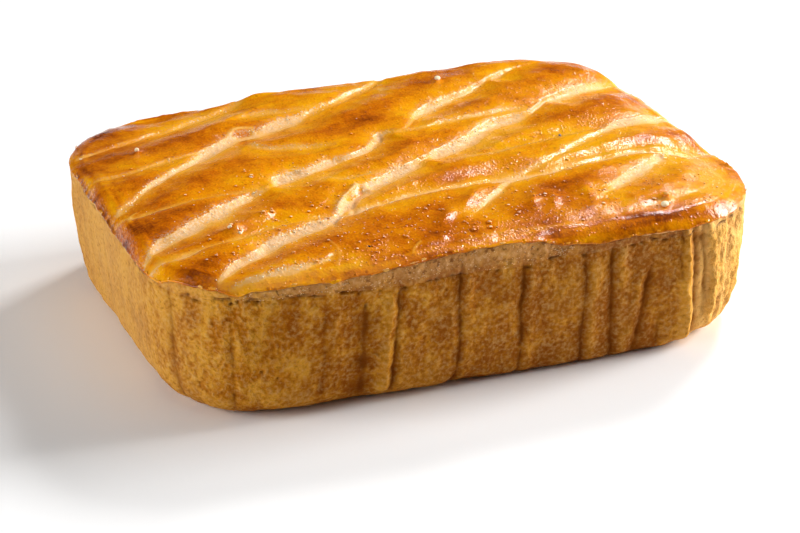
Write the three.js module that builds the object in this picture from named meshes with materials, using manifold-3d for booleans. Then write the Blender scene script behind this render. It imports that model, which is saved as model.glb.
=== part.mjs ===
// A rectangular pork pie, baked in a shallow tray and turned out: a raised pastry case with its
// filling sealed inside, and a pastry lid scored with a crossed pattern that has risen into
// long cushions. Millimetres, +Z up, X along the long side. The origin is the middle of the
// base, which is flat and stands on the table.
import * as THREE from "three";
import { mergeVertices } from "three/addons/utils/BufferGeometryUtils.js";
import Module from "manifold-3d";

// ---- driving dimensions ----
const LENGTH = 160; // over the walls at the seam
const WIDTH = 118;
const CORNER_RADIUS = 29;
const SEAM_HEIGHT = 33.2; // top of the case, where the lid begins
const SEAM_GAP = 0.3; // between the case and the lid
const WALL_TAPER = 3.8; // how far the foot stands in from the seam, on each side
const FOOT_RADIUS = 2.4; // rounding between the wall and the base
const WALL_BELLY = 0.9; // how far the middle of a wall swells outwards
const LID_EDGE = 3.1; // thickness of the lid at its rim
const LID_LIP = 0.7; // the lid's rim stands in from the wall by this much
const LID_RISE = 2.8; // dome of the lid above its rim
const RISE_REACH = 24; // the dome comes up over this distance from the rim
const FAR_TILT = 1.8; // the far side of the lid is this much higher at the right, and lower at the left
const CUSHION_RISE = 1.4; // how far the pastry puffs up between two scores
const CUSHION_REACH = 8; // the cushion comes up over this distance from a score
const SLASH_DEPTH = 1.1; // wide scores, which opened in the oven
const SLASH_HALF = 2.3;
const CREASE_DEPTH = 0.8; // narrow scores, which stayed nearly shut
const CREASE_HALF = 1.4;

// ---- fineness ----
const WALL_STEP = 4.2; // spacing round the wall, between the pleats
const LID_CELLS_X = 52;
const LID_CELLS_Y = 38;
const SCORE_STEPS = 60; // points at which each score is measured

const HALF_X = LENGTH / 2;
const HALF_Y = WIDTH / 2;
const STRAIGHT_X = LENGTH - 2 * CORNER_RADIUS;
const STRAIGHT_Y = WIDTH - 2 * CORNER_RADIUS;
const QUARTER = (Math.PI / 2) * CORNER_RADIUS;
const PERIMETER = 2 * (STRAIGHT_X + STRAIGHT_Y) + 4 * QUARTER;

// Wide scores, each a smooth line through a few points from the near left to the far right.
const SLASHES = [
  [[-73, -53], [-50, -41.5], [-31, -33], [-18, -18.5], [0, -9], [28, 6.5], [60, 20.5], [74, 27]],
  [[-79, -28], [-60, -21.5], [-42, -11], [-20, -0.5], [-3, 8.5], [16, 22], [36, 33], [60, 49]],
  [[-79, -5], [-60, 7], [-46, 17], [-30, 24.5], [-14, 31.5], [2, 40], [22, 55]],
  [[-78, 18], [-60, 30], [-44, 39], [-18, 56]],
  [[-3, -42], [20, -28.5], [33, -19], [46, -12], [60, -4], [78, 1]],
  [[36, -45], [48, -37], [60, -27.5], [78, -17]],
];

// Narrow scores, which cross the wide ones and run nearly along the pie.
const CREASES = [
  [[-79, -30], [-72, -34.5], [-52, -33], [-34, -33.5], [0, -27], [28, -27.5], [58, -22], [78, -22]],
  [[-79, -9], [-50, -9.5], [-18, -10.5], [10, -9.5], [36, -5.5], [58, -5], [78, 0]],
  [[-79, 17], [-64, 15.5], [-48, 20], [-14, 9], [2, 12], [24, 16], [50, 17]],
  [[-78, 33], [-62, 33], [-30, 38], [8, 37], [46, 41]],
];

// Pleats that the crumpled lining pressed into the near wall. `at` is the place along X, `lean`
// how far the foot of the pleat stands to the left of its head, and `head` its upper end.
const NEAR_PLEATS = [
  { at: -43.5, depth: 0.35, half: 1.3, lean: 0, head: 24 },
  { at: -32, depth: 0.4, half: 1.4, lean: 0, head: 27 },
  { at: -24, depth: 0.8, half: 1.0, lean: 1, head: 28 },
  { at: -7.5, depth: 0.9, half: 0.9, lean: 1, head: 30 },
  { at: 9.5, depth: 0.9, half: 0.9, lean: 0.5, head: 29 },
  { at: 26, depth: 0.6, half: 1.0, lean: 1, head: 28 },
  { at: 34.5, depth: 0.9, half: 1.0, lean: 0, head: 29 },
  { at: 42.5, depth: 0.9, half: 1.1, lean: 2.4, head: 22 },
  { at: 55.5, depth: 1.2, half: 1.2, lean: -1, head: 31 },
];
const CORNER_PLEATS = 5; // in each crumpled corner
const FAR_PLEATS = 7; // along the far wall
const END_PLEATS = 4; // along the right end

// A number from 0 to 1 that looks random and is always the same for the same n.
function scatter(n) {
  const s = Math.sin(n * 127.1 + 11.7) * 43758.5453;
  return s - Math.floor(s);
}

function smooth(t) {
  const c = Math.min(1, Math.max(0, t));
  return c * c * (3 - 2 * c);
}

// The point of the outline at distance s from the left end of the near wall, with its
// outward direction. The outline runs anticlockwise seen from above.
function outlineAt(s) {
  const straights = [STRAIGHT_X, STRAIGHT_Y, STRAIGHT_X, STRAIGHT_Y];
  let rest = ((s % PERIMETER) + PERIMETER) % PERIMETER;
  let heading = 0;
  const at = new THREE.Vector2(-STRAIGHT_X / 2, -HALF_Y);
  for (const straight of straights) {
    const along = new THREE.Vector2(Math.cos(heading), Math.sin(heading));
    const out = new THREE.Vector2(along.y, -along.x);
    const run = Math.min(rest, straight);
    at.addScaledVector(along, run);
    rest -= run;
    if (rest <= 0) return { at, out };
    const bend = Math.min(rest, QUARTER);
    const centre = at.clone().addScaledVector(out, -CORNER_RADIUS);
    const turned = out.clone().rotateAround(new THREE.Vector2(), bend / CORNER_RADIUS);
    at.copy(centre).addScaledVector(turned, CORNER_RADIUS);
    rest -= bend;
    if (rest <= 0) return { at, out: turned };
    heading += Math.PI / 2;
  }
  return { at, out: new THREE.Vector2(0, -1) };
}

// All the pleats, placed by their distance s round the outline.
function allPleats() {
  const pleats = NEAR_PLEATS.map((p) => ({ ...p, s: p.at + STRAIGHT_X / 2 }));
  const addRow = (count, from, run, depth, seed) => {
    for (let i = 0; i < count; i++) {
      const place = (i + 0.5 + 0.5 * (scatter(seed + i) - 0.5)) / count;
      pleats.push({
        s: from + run * place,
        depth: depth * (0.7 + 0.6 * scatter(seed + 20 + i)),
        half: 0.9 + 0.4 * scatter(seed + 40 + i),
        lean: 2 * (scatter(seed + 60 + i) - 0.5),
        head: 25 + 6 * scatter(seed + 80 + i),
      });
    }
  };
  const nearRight = STRAIGHT_X;
  const right = nearRight + QUARTER;
  const farRight = right + STRAIGHT_Y;
  const far = farRight + QUARTER;
  addRow(CORNER_PLEATS, nearRight + 8, QUARTER - 8, 0.7, 1);
  addRow(END_PLEATS, right, STRAIGHT_Y, 0.6, 2);
  addRow(CORNER_PLEATS, farRight, QUARTER, 0.7, 3);
  addRow(FAR_PLEATS, far, STRAIGHT_X, 0.8, 4);
  return pleats.sort((a, b) => a.s - b.s);
}

// The places round the wall that get a column of vertices: an even spacing, and the two
// edges and the bottom of every pleat.
function wallColumns(pleats) {
  const columns = [];
  for (const pleat of pleats)
    for (const side of [-1, 0, 1]) columns.push({ s: pleat.s + side * pleat.half, pleat, side });
  const even = Math.round(PERIMETER / WALL_STEP);
  for (let i = 0; i < even; i++) {
    const s = (PERIMETER * i) / even;
    if (pleats.every((p) => Math.abs(p.s - s) > p.half + WALL_STEP / 3))
      columns.push({ s, pleat: null, side: 0 });
  }
  return columns.sort((a, b) => a.s - b.s);
}

// How far the wall stands in from the outline at height z, without its pleats.
function wallInset(z) {
  const up = z / SEAM_HEIGHT;
  const foot = Math.max(0, 1 - z / FOOT_RADIUS);
  return (
    WALL_TAPER * (1 - up) -
    WALL_BELLY * Math.sin(Math.PI * up) +
    FOOT_RADIUS * (1 - Math.sqrt(1 - foot * foot))
  );
}

// How far the foot of the wall stands to the left of its head at s: each pleat has its own
// lean, and the wall between two pleats goes over from one to the other.
function leanAt(pleats, s) {
  const first = pleats[0];
  const last = pleats[pleats.length - 1];
  const before = { ...last, s: last.s - PERIMETER };
  const after = { ...first, s: first.s + PERIMETER };
  const ring = [before, ...pleats, after];
  const i = ring.findIndex((p) => p.s >= s);
  const share = (s - ring[i - 1].s) / (ring[i].s - ring[i - 1].s);
  return THREE.MathUtils.lerp(ring[i - 1].lean, ring[i].lean, share);
}

// How strongly a pleat shows at height z: full over most of the wall, and dying away at its head.
function pleatShare(pleat, z) {
  return smooth((pleat.head - z) / 5);
}

function wallLevels() {
  const levels = [0, 0.3 * FOOT_RADIUS, FOOT_RADIUS];
  for (const up of [0.2, 0.36, 0.52, 0.66, 0.78, 0.89, 1]) levels.push(up * SEAM_HEIGHT);
  return levels;
}

// The case: a profile turned into a lathe, whose turns are then led round the pie's outline.
function caseGeometry() {
  const levels = wallLevels();
  const profile = [new THREE.Vector2(0, 0)];
  for (const z of levels) profile.push(new THREE.Vector2(1, z));
  profile.push(new THREE.Vector2(0, SEAM_HEIGHT));
  const pleats = allPleats();
  const columns = wallColumns(pleats);
  const geometry = new THREE.LatheGeometry(profile, columns.length);
  const position = geometry.getAttribute("position");
  const rows = profile.length;
  for (let i = 0; i <= columns.length; i++) {
    const column = columns[i % columns.length];
    for (let j = 0; j < rows; j++) {
      const z = profile[j].y;
      if (profile[j].x === 0) {
        position.setXYZ(i * rows + j, 0, 0, z);
        continue;
      }
      let inset = wallInset(z);
      if (column.pleat && column.side === 0)
        inset += column.pleat.depth * pleatShare(column.pleat, z);
      const lean = leanAt(pleats, column.s) * (1 - z / SEAM_HEIGHT);
      const { at, out } = outlineAt(column.s - lean);
      at.addScaledVector(out, -inset);
      position.setXYZ(i * rows + j, at.x, at.y, z);
    }
  }
  return geometry;
}

// A score as evenly spaced points along a smooth line through its few given ones.
function scoreLine(points) {
  const curve = new THREE.SplineCurve(points.map(([x, y]) => new THREE.Vector2(x, y)));
  return curve.getSpacedPoints(SCORE_STEPS);
}

const slashLines = SLASHES.map(scoreLine);
const creaseLines = CREASES.map(scoreLine);

function distanceTo(lines, x, y) {
  let nearest = Infinity;
  for (const line of lines)
    for (const p of line) nearest = Math.min(nearest, Math.hypot(p.x - x, p.y - y));
  return nearest;
}

// Distance from the point to the outline, inside the pie.
function rimDistance(x, y) {
  const dx = Math.abs(x) - STRAIGHT_X / 2;
  const dy = Math.abs(y) - STRAIGHT_Y / 2;
  const outside = Math.hypot(Math.max(dx, 0), Math.max(dy, 0));
  return CORNER_RADIUS - outside - Math.min(0, Math.max(dx, dy));
}

// The lid's dome: it is higher at the far right than at the far left.
function domeHeight(x, y) {
  return LID_RISE + FAR_TILT * (x / HALF_X) * smooth(y / HALF_Y);
}

// Height of the lid's upper surface.
function lidTop(x, y) {
  const rim = Math.max(0, rimDistance(x, y) - LID_LIP);
  const risen = Math.sqrt(1 - (1 - Math.min(1, rim / RISE_REACH)) ** 2);
  const slash = distanceTo(slashLines, x, y);
  const crease = distanceTo(creaseLines, x, y);
  const cushion = smooth(Math.min(slash, crease) / CUSHION_REACH) * smooth(rim / 6);
  const cut =
    SLASH_DEPTH * (1 - smooth(slash / SLASH_HALF)) +
    CREASE_DEPTH * (1 - smooth(crease / CREASE_HALF));
  const base = SEAM_HEIGHT + SEAM_GAP + LID_EDGE;
  return base + domeHeight(x, y) * risen + CUSHION_RISE * cushion - cut * smooth(rim / 5);
}

// A point of the square from -1 to 1, led onto the rounded outline: each square ring of the
// grid becomes a ring of the same shape as the rim.
function ontoOutline(u, v, inset) {
  const ring = Math.max(Math.abs(u), Math.abs(v));
  if (ring === 0) return new THREE.Vector2(0, 0);
  const corner = (Math.abs(u * v) / (ring * ring)) ** 3;
  const round = (CORNER_RADIUS - inset) * (1 - Math.SQRT1_2) * corner * ring ** 4;
  return new THREE.Vector2(
    u * (HALF_X - inset) - Math.sign(u) * round,
    v * (HALF_Y - inset) - Math.sign(v) * round,
  );
}

// Slides a point along the ray from the middle until it stands `depth` inside the outline.
function ontoRim(point, depth) {
  let low = 0.5;
  let high = 1.5;
  for (let i = 0; i < 40; i++) {
    const middle = (low + high) / 2;
    if (rimDistance(point.x * middle, point.y * middle) > depth) low = middle;
    else high = middle;
  }
  return point.clone().multiplyScalar(low);
}

// The lid before its underside is trimmed: a box of many cells, led onto the outline.
function lidGeometry() {
  const geometry = new THREE.BoxGeometry(2, 2, 2, LID_CELLS_X, LID_CELLS_Y, 2);
  const position = geometry.getAttribute("position");
  const edge = 1 - 1e-4;
  for (let i = 0; i < position.count; i++) {
    const u = position.getX(i);
    const v = position.getY(i);
    const w = position.getZ(i);
    const onRim = Math.max(Math.abs(u), Math.abs(v)) > edge;
    let at = ontoOutline(u, v, LID_LIP);
    if (onRim) at = ontoRim(at, w > edge ? LID_LIP + 1.2 : LID_LIP - 0.3 * Math.min(0, w));
    const underside = SEAM_HEIGHT + SEAM_GAP - 2;
    const shoulder = SEAM_HEIGHT + SEAM_GAP + 0.62 * LID_EDGE;
    const z = w > edge ? lidTop(at.x, at.y) : w > -edge ? shoulder : underside;
    position.setXYZ(i, at.x, at.y, z);
  }
  return geometry;
}

const wasm = await Module();
wasm.setup();

// A closed geometry as a manifold-3d solid.
function solidOf(geometry) {
  const bare = geometry.index ? geometry.toNonIndexed() : geometry.clone();
  bare.deleteAttribute("normal");
  bare.deleteAttribute("uv");
  const merged = mergeVertices(bare, 1e-4);
  return new wasm.Manifold(
    new wasm.Mesh({
      numProp: 3,
      vertProperties: merged.getAttribute("position").array,
      triVerts: new Uint32Array(merged.index.array),
    }),
  );
}

// A manifold-3d solid as a geometry with flat faces.
function geometryOf(solid) {
  const mesh = solid.getMesh();
  const indexed = new THREE.BufferGeometry()
    .setAttribute("position", new THREE.BufferAttribute(mesh.vertProperties, 3))
    .setIndex(new THREE.BufferAttribute(mesh.triVerts, 1));
  const geometry = indexed.toNonIndexed();
  geometry.computeVertexNormals();
  return geometry;
}

// The block of space below the lid, which trims its underside flat.
function blockBelowLid() {
  const depth = 20;
  const block = new THREE.BoxGeometry(2 * LENGTH, 2 * WIDTH, depth);
  block.translate(0, 0, SEAM_HEIGHT + SEAM_GAP - depth / 2);
  return block;
}

function makeMesh(name, geometry, colour, roughness) {
  const material = new THREE.MeshStandardMaterial({ color: colour, roughness, metalness: 0 });
  const mesh = new THREE.Mesh(geometry, material);
  mesh.name = name;
  return mesh;
}

const lidSolid = solidOf(lidGeometry()).subtract(solidOf(blockBelowLid()));

const pie = new THREE.Group();
pie.add(makeMesh("pastry_case", geometryOf(solidOf(caseGeometry())), 0xb9823b, 0.75));
pie.add(makeMesh("pastry_lid", geometryOf(lidSolid), 0xd98f22, 0.4));

export default pie;
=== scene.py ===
"""A baked pork pie: the fine surface, finish, floor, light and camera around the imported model.

Sizes are in millimetres unless a name says otherwise, and meshes are written in metres.
Places on the side of the pie are given by a run: the distance along the outline, seen from
above, that starts at the left end of the near straight and goes round by the right.
"""

import itertools
import logging
import math
from dataclasses import dataclass
from enum import Enum

import bmesh
import bpy
import numpy as np
from mathutils import Matrix, Vector


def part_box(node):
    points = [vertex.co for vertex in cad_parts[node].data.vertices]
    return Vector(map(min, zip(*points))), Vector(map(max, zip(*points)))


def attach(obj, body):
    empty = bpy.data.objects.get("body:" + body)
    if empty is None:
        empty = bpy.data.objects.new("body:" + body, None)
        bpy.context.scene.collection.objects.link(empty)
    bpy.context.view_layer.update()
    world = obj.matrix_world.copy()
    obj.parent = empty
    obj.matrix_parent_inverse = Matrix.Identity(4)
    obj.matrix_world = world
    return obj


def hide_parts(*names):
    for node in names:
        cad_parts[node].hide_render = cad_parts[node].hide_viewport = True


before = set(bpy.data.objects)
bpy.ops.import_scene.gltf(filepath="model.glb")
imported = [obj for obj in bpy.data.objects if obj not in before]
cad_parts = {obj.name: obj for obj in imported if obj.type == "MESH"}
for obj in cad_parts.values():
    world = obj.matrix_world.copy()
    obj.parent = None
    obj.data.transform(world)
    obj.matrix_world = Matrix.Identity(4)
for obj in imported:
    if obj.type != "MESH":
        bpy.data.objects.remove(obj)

MM = 0.001
BODY = "root"
NOISE_SEED = 5
LOG = logging.getLogger("pork_pie")

# Bodies that are made together before they join a large mesh, where each operator would be slow.
BATCH = 40
# Radius up to which a broken bit is made from the fewest faces.
FINE_BIT = 0.45
# Share of a dome's height above which its top is painted with a glint.
GLINT_FROM = 0.8
# Keeps a division clear of zero, and is the distance in metres within which two points are one.
TINY = 1e-6

Socket = bpy.types.NodeSocket
Points = tuple[tuple[float, ...], ...]


# ---- Small tools ----


def linear(colour: str) -> tuple[float, float, float, float]:
    """Turns an sRGB hex colour to linear light.

    Args:
        colour: A colour such as "#c8821e".

    Returns:
        Red, green, blue and an alpha of one.
    """
    parts = [int(colour[i : i + 2], 16) / 255 for i in (1, 3, 5)]
    light = [p / 12.92 if p <= 0.04045 else ((p + 0.055) / 1.055) ** 2.4 for p in parts]
    return (*light, 1.0)


def ease(value: np.ndarray) -> np.ndarray:
    """Smooth step of a value that is first held between 0 and 1."""
    held = np.clip(value, 0, 1)
    return held * held * (3 - 2 * held)


def shoulder(value: np.ndarray) -> np.ndarray:
    """Quarter round that starts upright at 0 and is flat from 1 on."""
    return np.sqrt(1 - (1 - np.clip(value, 0, 1)) ** 2)


def bell(value: np.ndarray) -> np.ndarray:
    """Soft hump of height one around 0, about one wide on each side."""
    return np.exp(-value * value)


def add(
    tree: bpy.types.NodeTree,
    kind: str,
    inputs: dict[str | int, object] | None = None,
    **settings: object,
) -> bpy.types.Node:
    """Adds a shader node, with its settings and links.

    Args:
        tree: The material's node tree.
        kind: The node's type, without its "ShaderNode" start.
        inputs: What goes into each input: a value, or a socket to link.
        **settings: The node's own properties.

    Returns:
        The new node.
    """
    node = tree.nodes.new("ShaderNode" + kind)
    for name, value in settings.items():
        setattr(node, name, value)
    for key, value in (inputs or {}).items():
        if isinstance(value, Socket):
            tree.links.new(value, node.inputs[key])
        else:
            node.inputs[key].default_value = value
    return node


class Noise:
    """Smooth seeded noise between about -1 and 1 on points in space.

    A number added to the points reads another part of the same noise.
    """

    SIDE = 48
    # Shift from one octave to the next, so that their lattices don't line up.
    SHIFT = 7.3
    TURN = np.array(Matrix.Rotation(0.6, 3, "Z") @ Matrix.Rotation(0.8, 3, "X"))

    def __init__(self, seed: int) -> None:
        """Fills the lattice that the noise is read from."""
        self.table = np.random.default_rng(seed).uniform(-1, 1, (self.SIDE,) * 3)

    def at(self, points: np.ndarray, size: float | tuple[float, float, float]) -> np.ndarray:
        """Reads one octave.

        Args:
            points: One row of coordinates for each point.
            size: Distance between neighbouring lumps, or one such distance for each axis.

        Returns:
            One value for each point.
        """
        cell = points / np.array(size) @ self.TURN.T
        low = np.floor(cell).astype(int)
        part = ease(cell - low)
        total = np.zeros(len(points))
        for corner in itertools.product((0, 1), repeat=3):
            weight = np.prod(np.where(corner, part, 1 - part), axis=1)
            i, j, k = ((low + corner) % self.SIDE).T
            total += weight * self.table[i, j, k]
        return total

    def rough(self, points: np.ndarray, size: float, octaves: int = 3) -> np.ndarray:
        """Sums octaves, each half as large and half as strong as the one before.

        Args:
            points: One row of coordinates for each point.
            size: Lump distance of the first octave.
            octaves: How many octaves are summed.

        Returns:
            One value for each point.
        """
        shares = [0.5**i for i in range(octaves)]
        return sum(self.at(points + self.SHIFT * i, size * s) * s for i, s in enumerate(shares))


def around(run: np.ndarray, knots: Points, period: float) -> np.ndarray:
    """Reads a smooth curve that closes on itself.

    Args:
        run: Where the curve is read.
        knots: Pairs of a place and a value, in order.
        period: Length after which the curve repeats.

    Returns:
        One value for each place.
    """
    places = np.array([k[0] for k in knots])
    values = np.array([k[1] for k in knots])
    places = np.append(places, places[0] + period)
    values = np.append(values, values[0])
    inside = (run - places[0]) % period + places[0]
    left = np.clip(np.searchsorted(places, inside, "right") - 1, 0, len(places) - 2)
    part = ease((inside - places[left]) / (places[left + 1] - places[left]))
    return values[left] * (1 - part) + values[left + 1] * part


def grid_shell(
    name: str,
    columns: int,
    rows: int,
    points: np.ndarray,
    fields: dict[str, np.ndarray],
    closes: bool = False,
) -> bpy.types.Object:
    """Makes a closed piece from one grid that is led over its surface.

    Args:
        name: Name of the new object.
        columns: Cells along the grid.
        rows: Cells across the grid.
        points: Place of each grid point in millimetres, row after row.
        fields: Values for the finish to read, one for each grid point.
        closes: Whether the last column meets the first.

    Returns:
        The object, with smooth shading, its open ends filled and its faces pointing out.
    """
    shell = bmesh.new()
    bmesh.ops.create_grid(shell, x_segments=columns, y_segments=rows, size=1)
    shell.verts.ensure_lookup_table()
    layers = {field: shell.verts.layers.float.new(field) for field in fields}
    for vertex, place in zip(shell.verts, points * MM):
        vertex.co = place
    for field, layer in layers.items():
        for vertex, value in zip(shell.verts, fields[field]):
            vertex[layer] = value
    if closes:
        ends = [v for i, v in enumerate(shell.verts) if i % (columns + 1) in (0, columns)]
        bmesh.ops.remove_doubles(shell, verts=ends, dist=TINY)
    rim = [edge for edge in shell.edges if edge.is_boundary]
    bmesh.ops.holes_fill(shell, edges=rim, sides=0)
    bmesh.ops.recalc_face_normals(shell, faces=shell.faces)
    return finished(name, shell)


def finished(name: str, shell: bmesh.types.BMesh, smooth: bool = True) -> bpy.types.Object:
    """Turns a bmesh into a linked object at the origin.

    Args:
        name: Name of the new object.
        shell: The mesh in work, which is freed.
        smooth: Whether the faces are shaded smooth.

    Returns:
        The new object.
    """
    for face in shell.faces:
        face.smooth = smooth
    mesh = bpy.data.meshes.new(name)
    shell.to_mesh(mesh)
    shell.free()
    piece = bpy.data.objects.new(name, mesh)
    bpy.context.scene.collection.objects.link(piece)
    return piece


# ---- The outline that case and lid share ----


@dataclass(frozen=True)
class Outline:
    """Rounded rectangle of the pie as seen from above."""

    length: float
    width: float
    radius: float = 29.0

    @property
    def straights(self) -> np.ndarray:
        """Lengths of the straights.

        Returns:
            Those of the near, right, far and left side.
        """
        long_side = self.length - 2 * self.radius
        short_side = self.width - 2 * self.radius
        return np.array([long_side, short_side, long_side, short_side])

    @property
    def quarter(self) -> float:
        """Length of one corner's arc."""
        return self.radius * math.pi / 2

    @property
    def starts(self) -> np.ndarray:
        """Run at the start of each straight."""
        return np.concatenate(([0], np.cumsum(self.straights + self.quarter)[:-1]))

    @property
    def around(self) -> float:
        """Full length of the outline."""
        return float(self.straights.sum() + 4 * self.quarter)

    @property
    def centres(self) -> np.ndarray:
        """Centres of the corners.

        Returns:
            x and y of the corner before each straight.
        """
        x = self.length / 2 - self.radius
        y = self.width / 2 - self.radius
        return np.array([(-x, -y), (x, -y), (x, y), (-x, y)])

    def apart(self, run: np.ndarray, place: np.ndarray | float) -> np.ndarray:
        """Shortest signed way along the outline from a place to a run."""
        return np.mod(run - place + self.around / 2, self.around) - self.around / 2

    def place(self, run: np.ndarray, inset: np.ndarray) -> tuple[np.ndarray, np.ndarray]:
        """Finds points at a run and an inset.

        Args:
            run: Distance along the outline.
            inset: Distance inwards from the outline, below the corner radius.

        Returns:
            The points' x and y.
        """
        run = np.mod(run, self.around)
        side = np.searchsorted(self.starts, run, "right") - 1
        rest = run - self.starts[side]
        along = np.minimum(rest, self.straights[side])
        angle = (side - 1) * math.pi / 2 + (rest - along) / self.radius
        turn = side * math.pi / 2
        reach = self.radius - inset
        x = self.centres[side, 0] + np.cos(turn) * along + np.cos(angle) * reach
        y = self.centres[side, 1] + np.sin(turn) * along + np.sin(angle) * reach
        return x, y

    def inset(self, x: np.ndarray, y: np.ndarray) -> np.ndarray:
        """Measures how far points lie inwards from the outline.

        Args:
            x: The points' x.
            y: The points' y.

        Returns:
            One distance for each point.
        """
        dx = np.abs(x) - (self.length / 2 - self.radius)
        dy = np.abs(y) - (self.width / 2 - self.radius)
        outside = np.hypot(np.maximum(dx, 0), np.maximum(dy, 0))
        return self.radius - outside - np.minimum(0, np.maximum(dx, dy))

    def run(self, x: np.ndarray, y: np.ndarray) -> np.ndarray:
        """Finds the run of the outline point that is nearest to each point near the outline.

        Args:
            x: The points' x.
            y: The points' y.

        Returns:
            One run for each point.
        """
        half_x = self.length / 2 - self.radius
        half_y = self.width / 2 - self.radius
        core_x = np.clip(x, -half_x, half_x)
        core_y = np.clip(y, -half_y, half_y)
        turned = np.arctan2(y - core_y, x - core_x) + math.pi / 2
        # The rounding and the small extra put a point right on a straight's end on that straight.
        turned = np.mod(np.round(turned, 9), 2 * math.pi)
        side = np.floor(turned / (math.pi / 2) + 1e-7).astype(int) % 4
        bend = turned - side * math.pi / 2
        start = self.centres[side]
        along = np.cos(side * math.pi / 2) * (core_x - start[:, 0])
        along = along + np.sin(side * math.pi / 2) * (core_y - start[:, 1])
        return self.starts[side] + along + np.clip(bend, 0, None) * self.radius


@dataclass(frozen=True)
class Stretch:
    """A stretch of the side, strongest at its middle and soft at its ends."""

    middle: float
    reach: float

    def share(self, outline: Outline, run: np.ndarray) -> np.ndarray:
        """One at the middle of the stretch, and next to nothing past twice its reach."""
        return bell(outline.apart(run, self.middle) / self.reach)


# ---- The side, whose relief runs on over the joint of case and lid ----


@dataclass(frozen=True)
class Pleat:
    """A narrow valley pressed into the wall by a fold of the tray's lining."""

    run_top: float
    run_foot: float
    top: float = 32.0
    foot: float = 3.0
    depth: float = 0.8
    width: float = 0.7
    ridge: float = 0.35
    ridge_side: float = 1.0


# Run at the top and at the foot, height of both ends, depth, width, ridge and the ridge's side.
PLEATS = tuple(
    Pleat(*row)
    for row in (
        (7.8, 7.6, 28, 6, 0.25, 0.8, 0.15), (17.8, 17.6, 27, 4, 0.6, 1.7, 0.4),
        (26.5, 25.2, 31, 3, 0.7, 0.6, 0.35, -1), (42.9, 42.6, 33, 1, 0.6, 0.6, 0.3),
        (58.8, 59.8, 32, 0, 0.8, 0.6, 0.3), (75.3, 76.5, 31, 0, 0.6, 0.7, 0.35),
        (82.5, 84.8, 32, 1, 0.85, 0.75, 0.4), (93.5, 91.2, 25, 2, 0.9, 0.8, 0.4, -1),
        (97.5, 97.5, 11, 3, 0.4, 0.6, 0.2), (101.8, 102.4, 33, 22, 0.6, 0.5, 0.3),
        (105.0, 109.0, 34, 2, 1.0, 0.8, 0.8, -1), (108.2, 111.6, 33, 9, 0.45, 0.7, 0.5),
        (112.4, 113.2, 32, 14, 0.35, 0.9, 0.6), (114.6, 117.2, 31, 5, 0.5, 0.8, 0.5, -1),
        (119.4, 120.0, 29, 8, 0.3, 1.1, 0.4), (123.4, 123.6, 32, 6, 0.45, 0.9, 0.4),
        (-15.0, -15.6, 34, 3, 0.3, 0.9, 0.1), (-31.5, -32.2, 33, 2, 0.35, 1.0, 0.15),
    )
)


@dataclass(frozen=True)
class Pit:
    """A small hole or short crack in the wall, near the joint with the lid."""

    run: float
    height: float
    long: float
    tall: float
    depth: float = 0.5


# Run, height above the ground, and half the length and height of the hole.
PITS = tuple(
    Pit(*row)
    for row in (
        (-24, 32.2, 1.2, 0.4), (-26, 33.3, 0.5, 0.4), (-17, 33.2, 0.5, 0.35),
        (-15, 32.6, 0.35, 0.35), (-13.4, 33.1, 0.4, 0.3), (-11, 33.4, 0.6, 0.3),
        (-8.8, 33.1, 0.45, 0.35), (-3, 33.4, 0.9, 0.22), (1.4, 33.3, 0.7, 0.22),
        (6.5, 33.1, 1.2, 0.22), (12.5, 32.6, 1.1, 0.28), (17, 32.8, 1.4, 0.25),
        (28, 31.2, 0.6, 0.4), (36, 32.0, 0.5, 0.3), (52, 31.6, 0.6, 0.35), (60, 31.2, 1.0, 0.5),
        (66, 32.6, 0.6, 0.3), (75, 32.0, 0.7, 0.3), (88, 32.5, 0.8, 0.3), (97, 32.6, 0.9, 0.35),
        (-8, 14, 0.4, 0.35), (-4, 12, 0.35, 0.35), (18, 28, 0.3, 0.8),
    )
)


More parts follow.
